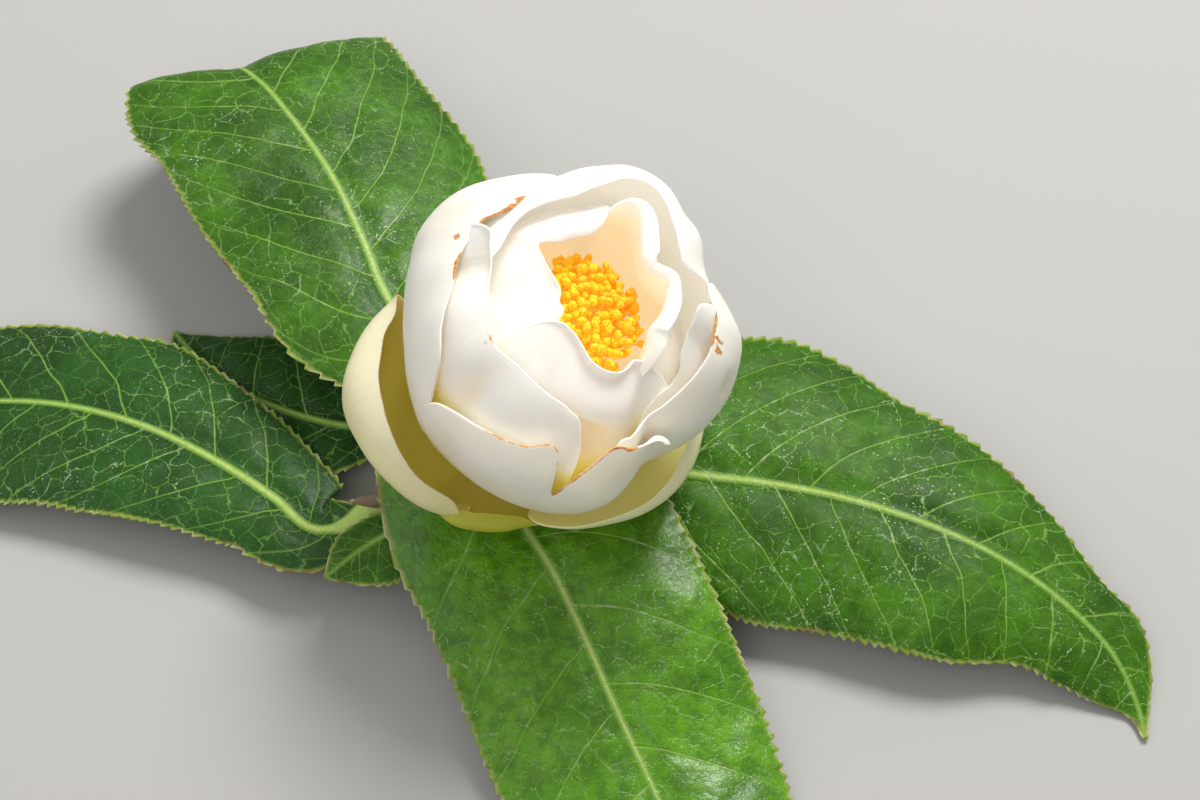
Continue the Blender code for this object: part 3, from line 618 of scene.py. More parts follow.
# %% Rolls, dents and dry places, petal by petal
# A rim row is an azimuth, how far below the rim its roll starts, how far it carries the petal on past the
# cup, and its turn in degrees, outwards positive. A dent or stain row is an azimuth, a height and the two
# widths. A dent row ends with its depth, outwards positive.
PLAIN_RIM = [(0, 0.5, 0.2, 6), (360, 0.5, 0.2, 6)]
RIMS = {
    "petal_10_right": [
        (-60, 0.5, 0.6, 20), (-52, 0.5, 2.6, 70), (-42, 0.4, 3.8, 90), (-23, 0.4, 4, 98),
        (2, 0.4, 3.2, 98), (11, 0.4, 2.6, 96), (18, 0.4, 2.2, 92), (28, 0.4, 2.4, 96),
        (40, 0.4, 3.4, 102), (54, 0.4, 3.2, 96), (66, 0.4, 2.6, 85), (75, 0.4, 1.6, 50),
        (84, 0.5, 0.4, 10), (100, 0.5, 0.2, 5),
    ],
    "petal_9_left": [
        (77, 0.5, 0.3, 5), (81, 0.8, 0.6, -40), (86, 1, 1, -55), (100, 1, 1.2, -60), (121, 1, 1, -60),
        (133, 0.8, 0.5, -30), (140, 0.5, 0.5, 15), (150, 0.6, 0.8, 30), (195, 0.6, 0.8, 30),
        (243, 0.5, 0.3, 10),
    ],
    "petal_6_back": [
        (8, 0.5, 0.2, -5), (31, 0.8, 0.4, -20), (66, 0.8, 0.4, -10), (87, 0.8, 0.5, -15),
        (115, 0.7, 0.5, -15), (131, 0.5, 0.5, 10), (150, 0.5, 0.5, 10), (173, 0.5, 0.2, -5),
    ],
    "petal_7_front_right": [
        (298, 0.5, 0.3, 5), (316, 0.5, 0.4, 10), (340, 0.5, 0.4, 12), (354, 0.5, 0.4, 12),
        (365, 0.5, 0.3, 5),
    ],
    "petal_8_front": [
        (203, 0.5, 0.3, 10), (228, 0.7, 1, 45), (250, 0.8, 1.4, 65), (274, 0.8, 1.8, 85),
        (304, 0.8, 1.4, 65), (323, 0.5, 0.3, 10),
    ],
    "petal_4_right": [(280, 0.5, 0.2, 5), (330, 0.5, 0.3, 8), (352, 0.5, 0.3, 8), (386, 0.5, 0.2, 5)],
    "petal_5_front_left": [
        (146, 0.5, 0.3, 15), (155, 0.5, 0.8, 60), (165, 0.5, 0.8, 60), (199, 0.5, 0.5, 20),
        (232, 0.5, 0.4, 10), (250, 0.5, 0.4, 10), (270, 0.5, 0.3, 5),
    ],
    "petal_3_left": [(94, 0.5, 0.2, -5), (129, 0.6, 0.6, -25), (142, 0.5, 0.4, 15), (213, 0.5, 0.2, 5)],
    "petal_1_front": [
        (209, 0.4, 0.1, 3), (250, 0.4, 0.1, 3), (290, 0.4, 0.3, 10), (297, 0.4, 1.2, 60),
        (303, 0.4, 2.2, 125), (309, 0.4, 1.6, 100),
    ],
}
DENTS = {
    "petal_8_front": [
        (271, 30.2, 15, 3.6, -3.6), (276, 35.6, 16, 2.3, 1.3), (240, 33, 8, 5, 0.8),
        (214, 35, 7, 5, -0.5),
    ],
    "petal_9_left": [(176, 31, 12, 6, -1), (150, 35, 8, 4, 0.5), (108, 38, 12, 4, 0.3)],
    "petal_5_front_left": [
        (184, 30, 8, 7, 0.9), (221, 31, 7, 5, -1), (238, 33, 11, 5, 0.6), (170, 33, 5, 7, -0.7),
    ],
    "petal_3_left": [(146, 34, 6, 6, -0.6), (168, 31, 9, 8, 0.4)],
    "petal_6_back": [
        (48, 38, 6, 6, -0.8), (76, 38, 7, 5, 0.4), (101, 36, 6, 6, -0.6), (28, 33, 6, 8, -0.5),
    ],
    "petal_4_right": [
        (339, 31, 4, 2.2, -0.9), (318, 29, 9, 5, 0.5), (357, 33, 6, 7, 0.5), (300, 27, 8, 4, -0.5),
    ],
    "petal_7_front_right": [(326, 34, 7, 6, 0.6), (342, 36, 5, 5, -0.5)],
    "petal_1_front": [(240, 27, 12, 5, 0.5), (286, 30, 7, 5, -0.7), (226, 24, 8, 6, -0.4)],
}
DRYNESS = {
    "petal_1_front": [
        (209, 0), (226, 0), (234, 0.25), (250, 0.35), (258, 0.45), (266, 0.7), (272, 0.3), (278, 0.35),
        (286, 0.9), (290, 0.1), (295, 0), (309, 0),
    ],
    "petal_3_left": [
        (94, 0), (120, 0.1), (126, 1.6), (137, 1.8), (142, 0.5), (147, 0.8), (151, 0), (164, 0), (169, 1),
        (174, 0.8), (179, 0), (195, 0.05), (205, 0.15), (213, 0.2),
    ],
    "petal_4_right": [(280, 0), (339, 0), (343, 1.2), (350, 1), (356, 0.5), (359, 0), (386, 0)],
    "petal_5_front_left": [(146, 0), (208, 0), (211, 1), (214, 0), (270, 0)],
}
STAINS = {
    "petal_4_right": [(344.5, 38.9, 2.4, 1.3), (341, 38.2, 2.2, 1.1)],
    "petal_3_left": [(157, 36.7, 2.8, 0.8)],
    "petal_5_front_left": [(211, 38.4, 1.5, 0.6)],
}
NOT_DRY = [(0, 0), (360, 0)]
# Up to this share of its height a petal's grid follows the cup, and past it the rolled rim.
ROLL_SHARE = 0.86


# %% The petal's surface
# The cup's swells, how deep, how wide and which pattern, and the heights between which they set in.
SWELLS, SWELL_HEIGHTS = [(0.28, 22, 3), (0.10, 9, 4)], (4, 16)
# The turn of a rolled rim is never quite nothing, so that its arc keeps a radius.
LEAST_TURN = 2


def spot(azimuth, height, centre, middle, width, tall):
    """A soft round patch on the bloom, 1 at its middle."""
    return near(azimuth, centre, width) * np.exp(-(((height - middle) / tall) ** 2))


def outward(points):
    return unit(points * (1, 1, 0))


def petal_surface(name, spec, u, v):
    """The petal's points in the bloom's own axes, and how far each is pushed out of its cup."""
    _, _, top = patch_angles(spec, u, np.ones_like(u))
    before, beyond, turn = curve_through(RIMS.get(name, PLAIN_RIM), top).T
    length = np.zeros_like(u)
    last = patch_point(spec, u, np.zeros_like(u))
    for part in np.linspace(0.1, 1, 10):
        here = patch_point(spec, u, np.full_like(u, part))
        length += np.linalg.norm(here - last, axis=1)
        last = here
    start, step = 1 - before / length, 0.004
    flat = patch_point(spec, u, np.minimum(v / ROLL_SHARE, 1) * start)
    up = unit(patch_point(spec, u, start + step) - patch_point(spec, u, start - step))
    next_u, last_u = np.minimum(u + step, 1), np.maximum(u - step, 0)
    side = unit(patch_point(spec, next_u, start) - patch_point(spec, last_u, start))
    out = unit(np.cross(side, up))
    gone = np.clip((v - ROLL_SHARE) / (1 - ROLL_SHARE), 0, 1) * (before + beyond)
    turn = np.radians(np.where(np.abs(turn) < LEAST_TURN, LEAST_TURN, turn))
    radius = (before + beyond) / turn
    onward, sideways = radius * np.sin(gone / radius), radius * (1 - np.cos(gone / radius))
    points = flat + (up * onward[:, None] + out * sideways[:, None])
    azimuth = np.degrees(np.arctan2(points[:, 1], points[:, 0]))
    push = ripples(points, *SWELLS) * soft_step(points[:, 2], *SWELL_HEIGHTS)
    for *dent, depth in DENTS.get(name, ()):
        push = push + depth * spot(azimuth, points[:, 2], *dent)
    return points + outward(points) * push[:, None], push


# %% From points to pieces
def to_row(points, matrix):
    return points @ matrix[:3, :3].T + matrix[:3, 3]


def point_cloud(piece):
    points = np.empty(len(piece.data.vertices) * 3)
    piece.data.vertices.foreach_get("co", points)
    return points.reshape(-1, 3)


def move_points(piece, points, matrix):
    piece.data.vertices.foreach_set("co", to_row(points, matrix).ravel())
    piece.data.update()


def grid_piece(name, across, up):
    """A flat grid primitive named for its piece, with u and v of every point from 0 to 1."""
    bpy.ops.object.select_all(action="DESELECT")
    bpy.ops.mesh.primitive_grid_add(x_subdivisions=across, y_subdivisions=up, size=1.0, calc_uvs=True)
    piece = bpy.context.active_object
    piece.name = piece.data.name = name
    flat = point_cloud(piece)
    return piece, flat[:, 0] + 0.5, flat[:, 1] + 0.5


def store(piece, label, values):
    layer = piece.data.attributes.get(label) or piece.data.attributes.new(label, "FLOAT", "POINT")
    layer.data.foreach_set("value", np.asarray(values, np.float32))


def pick(piece):
    """Makes the piece the active one, and the only one selected."""
    bpy.ops.object.select_all(action="DESELECT")
    bpy.context.view_layer.objects.active = piece
    piece.select_set(True)


def apply_all(piece):
    pick(piece)
    for modifier in list(piece.modifiers):
        bpy.ops.object.modifier_apply(modifier=modifier.name)


def thicken(piece, thickness, weights):
    """Gives a sheet its thickness, thinner where the weights are small, and shades it smooth."""
    group = piece.vertex_groups.new(name="thickness")
    for index, weight in enumerate(weights):
        group.add([index], float(weight), "REPLACE")
    solidify = piece.modifiers.new("thickness", "SOLIDIFY")
    solidify.thickness, solidify.offset = thickness * MM, 0
    solidify.vertex_group = group.name
    apply_all(piece)
    bpy.ops.object.shade_smooth()


def refinish(piece, material):
    piece.data.materials.clear()
    piece.data.materials.append(material)


def finish_piece(piece, material, slot, *nodes):
    refinish(piece, material)
    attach(piece, "root")
    if nodes:
        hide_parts(*nodes)
    size = [round(s * 1000, 1) for s in piece.dimensions]
    print(piece.name, len(piece.data.polygons), "faces", size, "mm")


def mark_side(piece, label, first_mark):
    """Solidify lists a sheet's second face after its first. One is marked 1 and the other 0."""
    marks = np.full(len(piece.data.vertices), 1.0 - first_mark)
    marks[: len(marks) // 2] = first_mark
    store(piece, label, marks)


# %% Build the petals
PETAL_THICKNESS, SEPAL_THICKNESS = 0.62, 0.45
# The rim's share of that thickness, and the part of the petal that thins towards the rim.
RIM_SHARE, THINNING_PART = 0.48, 0.22
BLOOM_HEIGHT = 40
OUTER = ("petal_1_front", "petal_2_back", "petal_3_left", "petal_4_right")
DEEP = ("petal_9_left", "petal_10_right")


def build_petal(name, spec, material, slot, thickness, dryness):
    across, up = spec.get("cells", (64, 36))
    piece, u, v = grid_piece(name, across, up)
    points, push = petal_surface(name, spec, u, v)
    azimuth, _, top = patch_angles(spec, u, v)
    rim, _ = petal_surface(name, spec, u, np.ones_like(u))
    stain = np.zeros_like(u)
    for place in STAINS.get(name, ()):
        stain = np.maximum(stain, spot(azimuth, points[:, 2], *place))
    values = {
        # hollow is how deep a dent goes, and it carries the dents' painted shade.
        "rim_mm": np.linalg.norm(points - rim, axis=1), "hollow": np.clip(-push, 0, 2),
        "rise": points[:, 2] / BLOOM_HEIGHT, "across_mm": np.radians(azimuth) * spec["belly"] * 0.9,
        "up_mm": points[:, 2], "dryness": curve_value(dryness, top), "stain": stain,
    }
    for label, value in values.items():
        store(piece, label, value)
    move_points(piece, points, BLOOM)
    weights = RIM_SHARE + (1 - RIM_SHARE) * np.clip((1 - v) / THINNING_PART, 0, 1)
    thicken(piece, thickness, weights)
    middle = to_row(points, BLOOM)
    outwards = to_row(points + outward(points), BLOOM) - middle
    side = ((point_cloud(piece)[: len(u)] - middle) * outwards).sum(axis=1).mean()
    mark_side(piece, "inner", 1.0 if side < 0 else 0.0)
    smooth = piece.modifiers.new("rounding", "SUBSURF")
    smooth.levels = smooth.render_levels = 1
    apply_all(piece)
    finish_piece(piece, material, slot, name)


for name, spec in PETALS.items():
    finish = outer_petal if name in OUTER else inner_petal if name in DEEP else white_petal
    build_petal(name, spec, finish, "petal", PETAL_THICKNESS, DRYNESS.get(name, NOT_DRY))

# %% [markdown]
# ## The sepals
# Under the petals sit the sepals, thick scoop-shaped scales. They share the petals' cups but are
# greener, and their rims are thin, papery and brown.

# %% Sepals
# Each sepal's third colour, on its inner side, is darker and more golden as painted shade for its hollow,
# and its last colour is a faint painted glow.
cream_sepal = petal_finish(
    "cream sepal", (0.88, 0.81, 0.58), (0.72, 0.68, 0.28), (0.58, 0.50, 0.12), 0.10, 0.50,
    (0.42, 0.22, 0.08), (0.07, 0.060, 0.006),
)
pale_sepal = petal_finish(
    "pale sepal", (0.84, 0.82, 0.52), (0.72, 0.73, 0.32), (0.78, 0.74, 0.34), 0.00, 0.35,
    (0.50, 0.35, 0.12), (0.07, 0.066, 0.022),
)
green_sepal = petal_finish(
    "green sepal", (0.48, 0.50, 0.05), (0.36, 0.40, 0.01), (0.54, 0.46, 0.11), -0.10, 0.20,
    (0.40, 0.24, 0.08), (0.05, 0.042, 0.005),
)
SEPAL_FINISHES = {"sepal_1_left": cream_sepal, "sepal_2_front": green_sepal}
for name, spec in SEPALS.items():
    dry_share = 0.25 if name == "sepal_1_left" else 0.05
    dryness = [(spec["rows"][0][0], dry_share), (spec["rows"][-1][0], dry_share)]
    build_petal(name, spec, SEPAL_FINISHES.get(name, pale_sepal), "sepal", SEPAL_THICKNESS, dryness)

# %% [markdown]
# ## Stamens
# A camellia's heart is a brush of more than a hundred stamens. Their filaments stand on one short tube
# and each ends in a plump two-lobed anther covered in pollen. Five anthers are modelled from a small
# icosphere and copied, each copy with its own turn and size, so no two look alike.

# %% Anther and tube shapes
def anther_shape(seed):
    """Points and faces of one knobbly two-lobed anther, about 1 unit across."""
    bpy.ops.object.select_all(action="DESELECT")
    bpy.ops.mesh.primitive_ico_sphere_add(subdivisions=2, radius=0.5)
    ball = bpy.context.active_object
    points = point_cloud(ball)
    faces = np.array([list(face.vertices) for face in ball.data.polygons])
    bpy.data.objects.remove(ball)
    groove = 0.14 * np.exp(-((points[:, 0] / 0.14) ** 2)) * soft_step(np.abs(points[:, 1]), 0.0, 0.3)
    grain = ripples(points, (0.08, 0.55, seed), (0.05, 0.3, seed + 50))
    shaped = points * (1 - groove + grain)[:, None] * (1.0, 0.86, 1.12)
    return shaped, faces


def tube_rings(path, radii, sides):
    """Points and faces of a tube along a path, closed at both ends."""
    ahead = unit(np.gradient(path, axis=0))
    first = unit(np.cross(ahead, [0.3, 0.2, 1.0]))
    second = np.cross(ahead, first)
    turn = np.linspace(0, 2 * pi, sides, endpoint=False)[None, :, None]
    ring = first[:, None] * np.cos(turn) + second[:, None] * np.sin(turn)
    rings = path[:, None] + radii[:, None, None] * ring
    faces = []
    for i in range(len(path) - 1):
        for j in range(sides):
            k = (j + 1) % sides
            faces.append((i * sides + j, i * sides + k, (i + 1) * sides + k, (i + 1) * sides + j))
    faces.append(tuple(reversed(range(sides))))
    faces.append(tuple((len(path) - 1) * sides + j for j in range(sides)))
    return rings.reshape(-1, 3), faces


def mesh_piece(name, points, faces):
    mesh = bpy.data.meshes.new(name)
    mesh.from_pydata([tuple(point) for point in points], [], [tuple(face) for face in faces])
    piece = bpy.data.objects.new(name, mesh)
    bpy.context.scene.collection.objects.link(piece)
    pick(piece)
    bpy.ops.object.shade_smooth()
    return piece


# %% Place the stamens
class Tuft:
    """Many small pieces gathered into one mesh."""

    def __init__(self):
        self.points, self.faces, self.count = [], [], 0

    def add(self, points, faces):
        self.points.append(points)
        self.faces += [tuple(np.array(face) + self.count) for face in faces]
        self.count += len(points)

    def piece(self, name):
        return mesh_piece(name, to_row(np.concatenate(self.points), BLOOM), self.faces)


# Two rounds of stamens: how many, the radius where they start and how far they spread past it, their
# height at the middle and how it falls away outwards, and how much the radius varies.
ROUNDS = [(215, 0, 9.1, 35.6, 0.030, 0.25), (75, 2.5, 6.8, 33.6, 0.035, 0.3)]
STAMENS = sum(row[0] for row in ROUNDS)
FOOT_RADIUS, FOOT_HEIGHT, FILAMENT_RADIUS, FILAMENT_RINGS = 3.3, 16.2, 0.2, 9
GOLDEN_ANGLE, TUFT_SHIFT = pi * (3 - 5**0.5), (-0.7, -0.3)
random = np.random.default_rng(11)
shapes = [anther_shape(seed) for seed in range(5)]
heads, threads, tone = Tuft(), Tuft(), []
places = [(j + 0.5, *row) for row in ROUNDS for j in range(row[0])]
for i, (order, count, nearest, spread, height, fall, loose) in enumerate(places):
    reach = nearest + spread * (order / count) ** 0.5 + random.normal(0, loose)
    top = height - fall * reach**2 + random.normal(0, 0.5)
    # A few lean out past the rest.
    if i % 37 == 21:
        reach += 1.3
    angle = i * GOLDEN_ANGLE + random.normal(0, 0.10)
    head = np.array([reach * cos(angle) + TUFT_SHIFT[0], reach * sin(angle) + TUFT_SHIFT[1], top])
    foot_radius = FOOT_RADIUS + 0.6 * random.random()
    foot = np.array([foot_radius * cos(angle), foot_radius * sin(angle), FOOT_HEIGHT])
    rise = np.linspace(0, 1, FILAMENT_RINGS)[:, None]
    bow = np.sin(rise * pi) * (head - foot) * (-0.10, -0.10, 0.05)
    path = foot + (head - foot) * np.concatenate([rise**1.5, rise**1.5, rise], 1) + bow
    threads.add(*tube_rings(path, FILAMENT_RADIUS * np.linspace(1.1, 0.8, FILAMENT_RINGS), 6))
    shape, faces = shapes[i % 5]
    turn = Euler((random.normal(0, 0.6), random.normal(0, 0.6), random.uniform(0, 2 * pi))).to_matrix()
    heads.add(head + (shape * random.uniform(1.3, 1.7)) @ np.array(turn).T, faces)
    # The anthers run from yellow to more orange towards +x and +y, and vary at random.
    orange_share = 0.45 + 0.06 * head[0] + 0.04 * head[1] + random.normal(0, 0.12)
    tone += [min(max(orange_share, 0), 1)] * len(shape)

anthers = heads.piece("anthers")
store(anthers, "tone", tone)
filaments = threads.piece("filaments")
print(STAMENS, "stamens")

# %% Pollen and filament finishes
pollen, tree, shader, place = new_material("pollen")
grains = noise(place, 3600.0, 2.0, 0.6)
colour = layered(
    blend_colour(attribute(tree, "tone"), (1.0, 0.76, 0.02), (1.0, 0.45, 0.0)),
    # The grain is deeper orange in its dips and paler on its tops: painted shade and painted light.
    (mask(grains, 0.56, 0.34), (1.0, 0.42, 0.0)),
    (mask(grains, 0.56, 0.72), (1.0, 0.84, 0.08)),
)
set_sockets(shader, {
    # The anthers glow faintly in their own colour: painted light.
    "Base Color": colour, "Emission Color": colour, "Emission Strength": 0.17, "Roughness": 0.7,
    "Subsurface Weight": 0.35, "Subsurface Radius": (1.0, 0.5, 0.1), "Subsurface Scale": 0.0006,
    "Normal": bump(grains, 0.00025, 0.9),
})
finish_piece(anthers, pollen, "stamen", *["stamen_%02d" % (i + 1) for i in range(24)])

thread, tree, shader, place = new_material("pale yellow filament")
set_sockets(shader, {
    "Base Color": blend_colour(noise(place, 300.0), (0.90, 0.66, 0.16), (0.94, 0.76, 0.26)),
    # The filaments glow faintly: painted light.
    "Emission Color": blend_colour(noise(place, 120.0), (0.20, 0.12, 0.02), (0.16, 0.10, 0.02)),
    "Emission Strength": 1.0, "Roughness": 0.5, "Subsurface Weight": 0.4, "Subsurface Scale": 0.0006,
})
finish_piece(filaments, thread, "filament")
# The tube and the pistil take the same finish and its painted glow.
for name in ("filament_tube", "pistil"):
    refinish(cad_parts[name], thread)

# %% [markdown]
# ## The leaves
# Camellia leaves are stiff, glossy and finely toothed. A leaf follows a curved midrib: its blade spreads
# from it to both sides with a slight fold and a downward arch. The skin puckers up between the side veins.
# The grid is fine along the leaf, so the forward-pointing teeth can be cut into its margin point by point.

# %% Leaf tables, in millimetres and degrees
# A midrib row is a place. A sides row is a share of the length and the half width there, right side first.
# Stalk is the stalk's share of the length. Roll rows turn the blade about the midrib, fold lifts its
# halves and arch bends them down.
LEAVES = {
    "leaf_1_right": {
        "stalk": 0.05, "cells": (300, 52),
        "roll": [(0, 0), (0.12, 9), (0.35, 9), (0.7, 2), (1, 0)], "fold": 0.1, "arch": 0.24,
        "midrib": [
            (0.4, 0.1, 14.6), (11, -3.8, 12.8), (24, -5.6, 12.5), (37, -7.5, 12.4), (48, -10, 12.1),
            (59.5, -14, 11.4), (69.5, -18.6, 10), (80, -25.8, 7.4), (87, -32.8, 4.2), (90.5, -41, 1.2),
            (91, -45, 0.7),
        ],
        "sides": [
            (0, 1.1, 1.1), (0.05, 1.1, 1.1), (0.1, 8, 11), (0.17, 15, 19), (0.25, 20, 25),
            (0.33, 21.9, 26.8), (0.4, 21.9, 24.5), (0.46, 21.4, 21.2), (0.57, 20.7, 18.3),
            (0.69, 18.3, 12.9), (0.8, 11.6, 8.2), (0.86, 9.8, 7.7), (0.92, 6.6, 4.2), (0.97, 1.4, 1.3),
            (1, 0.3, 0.3),
        ],
    },
    "leaf_2_front": {
        "stalk": 0.045, "cells": (300, 48),
        "roll": [(0, 0), (0.1, 6), (0.35, 8), (0.65, 2), (1, 0)], "fold": 0.1, "arch": 0.22,
        "lobes": (18, 6.5),
        "midrib": [
            (-4.8, -2.2, 14), (-4.3, -9, 15.8), (-1.8, -16.6, 15.9), (2.3, -23.5, 15), (7, -33, 12.6),
            (11.5, -43, 9.7), (16.3, -53, 6.4), (20.5, -62, 4.3), (25, -72, 3), (30, -83, 1.9),
            (34, -92, 0.9),
        ],
        "sides": [
            (0, 1.1, 1.1), (0.04, 1.4, 1.2), (0.055, 10, 12), (0.075, 15.5, 18.5), (0.1, 17.6, 20.3),
            (0.15, 19, 20.8), (0.25, 20.2, 21.1), (0.36, 20.6, 20.8), (0.6, 20.2, 19.8), (0.7, 18.5, 18),
            (0.8, 14.5, 14), (0.89, 8.5, 8), (0.96, 2.6, 2.4), (1, 0.3, 0.3),
        ],
    },
    "leaf_3_back_left": {
        "stalk": 0.05, "cells": (300, 52),
        "roll": [(0, 0), (0.2, 3), (1, 3)], "fold": 0.08, "arch": 0.2,
        "slant": (-0.08, -0.54), "folds_at": 0.7,
        "midrib": [
            (-3.2, 3.4, 16.6), (-10, 8.4, 18.6), (-16.5, 14, 20), (-22.7, 20.8, 20.8),
            (-27.5, 32.4, 21.5), (-33.1, 45.1, 22.2), (-40, 56.7, 22.5), (-46, 65.2, 22.3),
            (-49.6, 69.3, 21), (-51.6, 71.6, 17.5), (-53, 73.2, 11.5), (-54.3, 75, 5), (-56, 77.5, 0.9),
        ],
        "sides": [
            (0, 1.1, 1.1), (0.05, 1.1, 1.1), (0.1, 7, 7), (0.17, 13.5, 13), (0.25, 19, 17.3),
            (0.37, 22.5, 20.2), (0.48, 25, 22.7), (0.6, 24.1, 23.6), (0.66, 24.1, 22.6), (0.77, 24, 22.5),
            (0.84, 19.5, 19), (0.91, 12, 11.5), (0.97, 4, 4), (1, 0.3, 0.3),
        ],
    },
    "leaf_4_left": {
        "stalk": 0.06, "cells": (300, 44), "roll": [(0, 0), (0.4, 0), (1, 0)], "fold": 0.1, "arch": 0.16,
        "midrib": [
            (-18.3, -7, 7.9), (-25, -10.6, 7.6), (-34, -12.6, 7.7), (-40.5, -7, 7.9), (-51.5, 0.7, 8.2),
            (-63, 7, 7.8), (-78, 12, 6.2), (-92, 13.5, 4), (-107, 11.5, 1.9), (-121, 5, 0.7),
        ],
        "sides": [
            (0, 1.1, 1.1), (0.06, 1.1, 1.1), (0.1, 5, 4.5), (0.15, 8.5, 8), (0.23, 10.4, 10.8),
            (0.31, 12.6, 13.2), (0.4, 14.9, 15.8), (0.48, 17, 17.4), (0.56, 16, 18.3), (0.68, 16, 18.6),
            (0.78, 14, 16), (0.87, 9.5, 10.5), (0.95, 3.6, 3.8), (1, 0.3, 0.3),
        ],
    },
    "leaf_5_behind": {
        "stalk": 0.16, "cells": (180, 36), "roll": [(0, 0), (1, 0)], "fold": 0.08, "arch": 0.12,
        "midrib": [
            (-12, 0.7, 8.8), (-22, 6, 6.6), (-33, 9, 4.9), (-45, 14.5, 3.7), (-54, 22, 2.4),
            (-60, 30, 0.8),
        ],
        "sides": [
            (0, 1.1, 1.1), (0.16, 1.1, 1.1), (0.26, 6, 6), (0.4, 11, 11), (0.55, 13.6, 13.6),
            (0.68, 13.6, 13.6), (0.8, 10.5, 10.5), (0.9, 6, 6), (0.96, 2.4, 2.4), (1, 0.3, 0.3),
        ],
    },
    "leaf_6_small": {
        "stalk": 0.16, "cells": (110, 28), "roll": [(0, 0), (1, 0)], "fold": 0.08, "arch": 0.1,
        "midrib": [
            (-11.6, -5.8, 9), (-16, -10.8, 9.9), (-22, -14.8, 10.2), (-27, -18.4, 10.1),
            (-31.5, -22.5, 9.7),
        ],
        "sides": [
            (0, 1.1, 1.1), (0.16, 1, 1), (0.28, 2.6, 4.2), (0.45, 4.2, 7), (0.62, 4.8, 8.2),
            (0.78, 4.4, 7.2), (0.9, 2.6, 4.4), (0.97, 0.9, 1.4), (1, 0.3, 0.3),
        ],
    },
}
# The stalk and the blade in the middle, in millimetres, and how thin the blade's margin is beside them.
STALK_THICKNESS, BLADE_THICKNESS = 1.8, 0.5
MARGIN_THINNING = 0.45
TOOTH_PITCH, TOOTH_DEPTH = 1.9, 1.0
# Side veins: their spacing in millimetres, how far they sweep back per millimetre, and how that grows.
PLAIN_VEINS = (9.2, 0.62, 0.016)
VEINS = {"leaf_2_front": (12.0, 0.42, 0.014), "leaf_6_small": (4.5, 0.7, 0.02)}
# The side veins of the left half leave the midrib between those of the right half.
VEIN_OFFSET = 0.45


# %% Leaf shape
def path_direction(rows, at):
    before, after = np.clip(at - 0.01, 0, 0.99), np.clip(at + 0.01, 0.01, 1)
    return unit(curve_through(rows, after) - curve_through(rows, before))


def leaf_surface(name, spec, u, v):
    """The leaf's points, and for each its distances along, across, in from the margin and along the side
    veins. Blade says how far the leaf has changed from stalk (0) to blade (1)."""
    path = np.array(spec["midrib"], float)
    length = np.concatenate([[0], np.cumsum(np.linalg.norm(np.diff(path, axis=0), axis=1))])
    rows = np.column_stack([length / length[-1], path])
    sides = curve_through(spec["sides"], u)
    c = 2 * v - 1
    half = np.where(c < 0, sides[:, 0], sides[:, 1])
    # On a leaf that folds over aslant, the lines across it run along the fold, not square to the midrib.
    slant = np.where(c < 0, *spec.get("slant", (0, 0)))
    aslant = slant * np.clip((u - 0.4) / 0.2, 0, 1) * half * c
    further = u + aslant / length[-1]
    forward = path_direction(rows, further)
    flat_forward = path_direction(rows, np.minimum(further, spec.get("folds_at", 1)))
    centre = curve_through(rows, further) + forward * (np.maximum(further - 1, 0) * length[-1])[:, None]
    centre = centre - flat_forward * aslant[:, None]
    left = unit(np.cross([0, 0, 1], flat_forward))
    above = unit(np.cross(forward, left))
    roll = np.radians(curve_value(spec["roll"], u))[:, None]
    left, above = left * np.cos(roll) + above * np.sin(roll), above * np.cos(roll) - left * np.sin(roll)
    lift = half * (spec["fold"] * np.abs(c) - spec["arch"] * c**2)
    along, across = u * length[-1], half * c
    out = np.abs(across)
    blade = soft_step(u, spec["stalk"], spec["stalk"] + 0.07)
    flat = np.column_stack([along, across, 0 * along])
    spacing, sweep, growth = VEINS.get(name, PLAIN_VEINS)
    line = along - sweep * out - growth * out**2 + ripples(flat, (1.1, 30, 5), (0.35, 8, 9))
    line = line / spacing
    between = np.abs(np.mod(line + np.where(across > 0, VEIN_OFFSET, 0.0), 1) - 0.5) * 2
    quilt = 0.24 * (1 - between**2) * np.clip(out / 3, 0, 1) * soft_step(half - out, 0.5, 5) - 0.1
    ridge = 0.34 * np.exp(-((across / 0.8) ** 2)) * (1 - 0.6 * u)
    ridge = ridge - 0.25 * np.exp(-(((out - 1.7) / 0.9) ** 2))
    wave = ripples(flat, (0.4, 24, 7), (0.10, 6, 8)) * np.clip(out / 5, 0, 1)
    tooth = np.mod(along / TOOTH_PITCH + ripples(flat, (0.35, 11, 6)) + 0.5 * (c > 0), 1.0)
    depth = TOOTH_DEPTH * (0.8 + ripples(flat, (0.45, 17, 4))) * np.clip(half / 7, 0, 1)
    bite = depth * blade * (tooth - 0.65) * soft_step(np.abs(c), 0.9, 1.0)
    # The base can reach back past the stalk in a rounded lobe at either side.
    lobe = np.where(c < 0, *spec.get("lobes", (0, 0))) * np.abs(c) ** 1.5
    lobe = lobe * np.exp(-(((u - 0.05) / 0.13) ** 2)) * blade
    centre = centre - flat_forward * lobe[:, None]
    points = centre + left * (across + bite * np.sign(c))[:, None]
    points = points + above * (lift + blade * (ridge + wave + quilt))[:, None]
    return points, along, across, half * (1 - np.abs(c)), blade, line


# %% [markdown]
# ## The leaf's finish
# A midrib runs the length of the leaf. Side veins leave it every centimetre or so and bend towards the
# tip, and an uneven net of fine veins fills the rest. All of them are drawn from the measured distances
# stored on the leaf's points. The veins are pale and slightly sunken. The skin between them is glossy and
# crinkled, with chalky dust here and there. The dips of the crinkle are darkened as painted shade, and
# a faint pale haze over the dusty patches is partly dust and partly painted sheen.

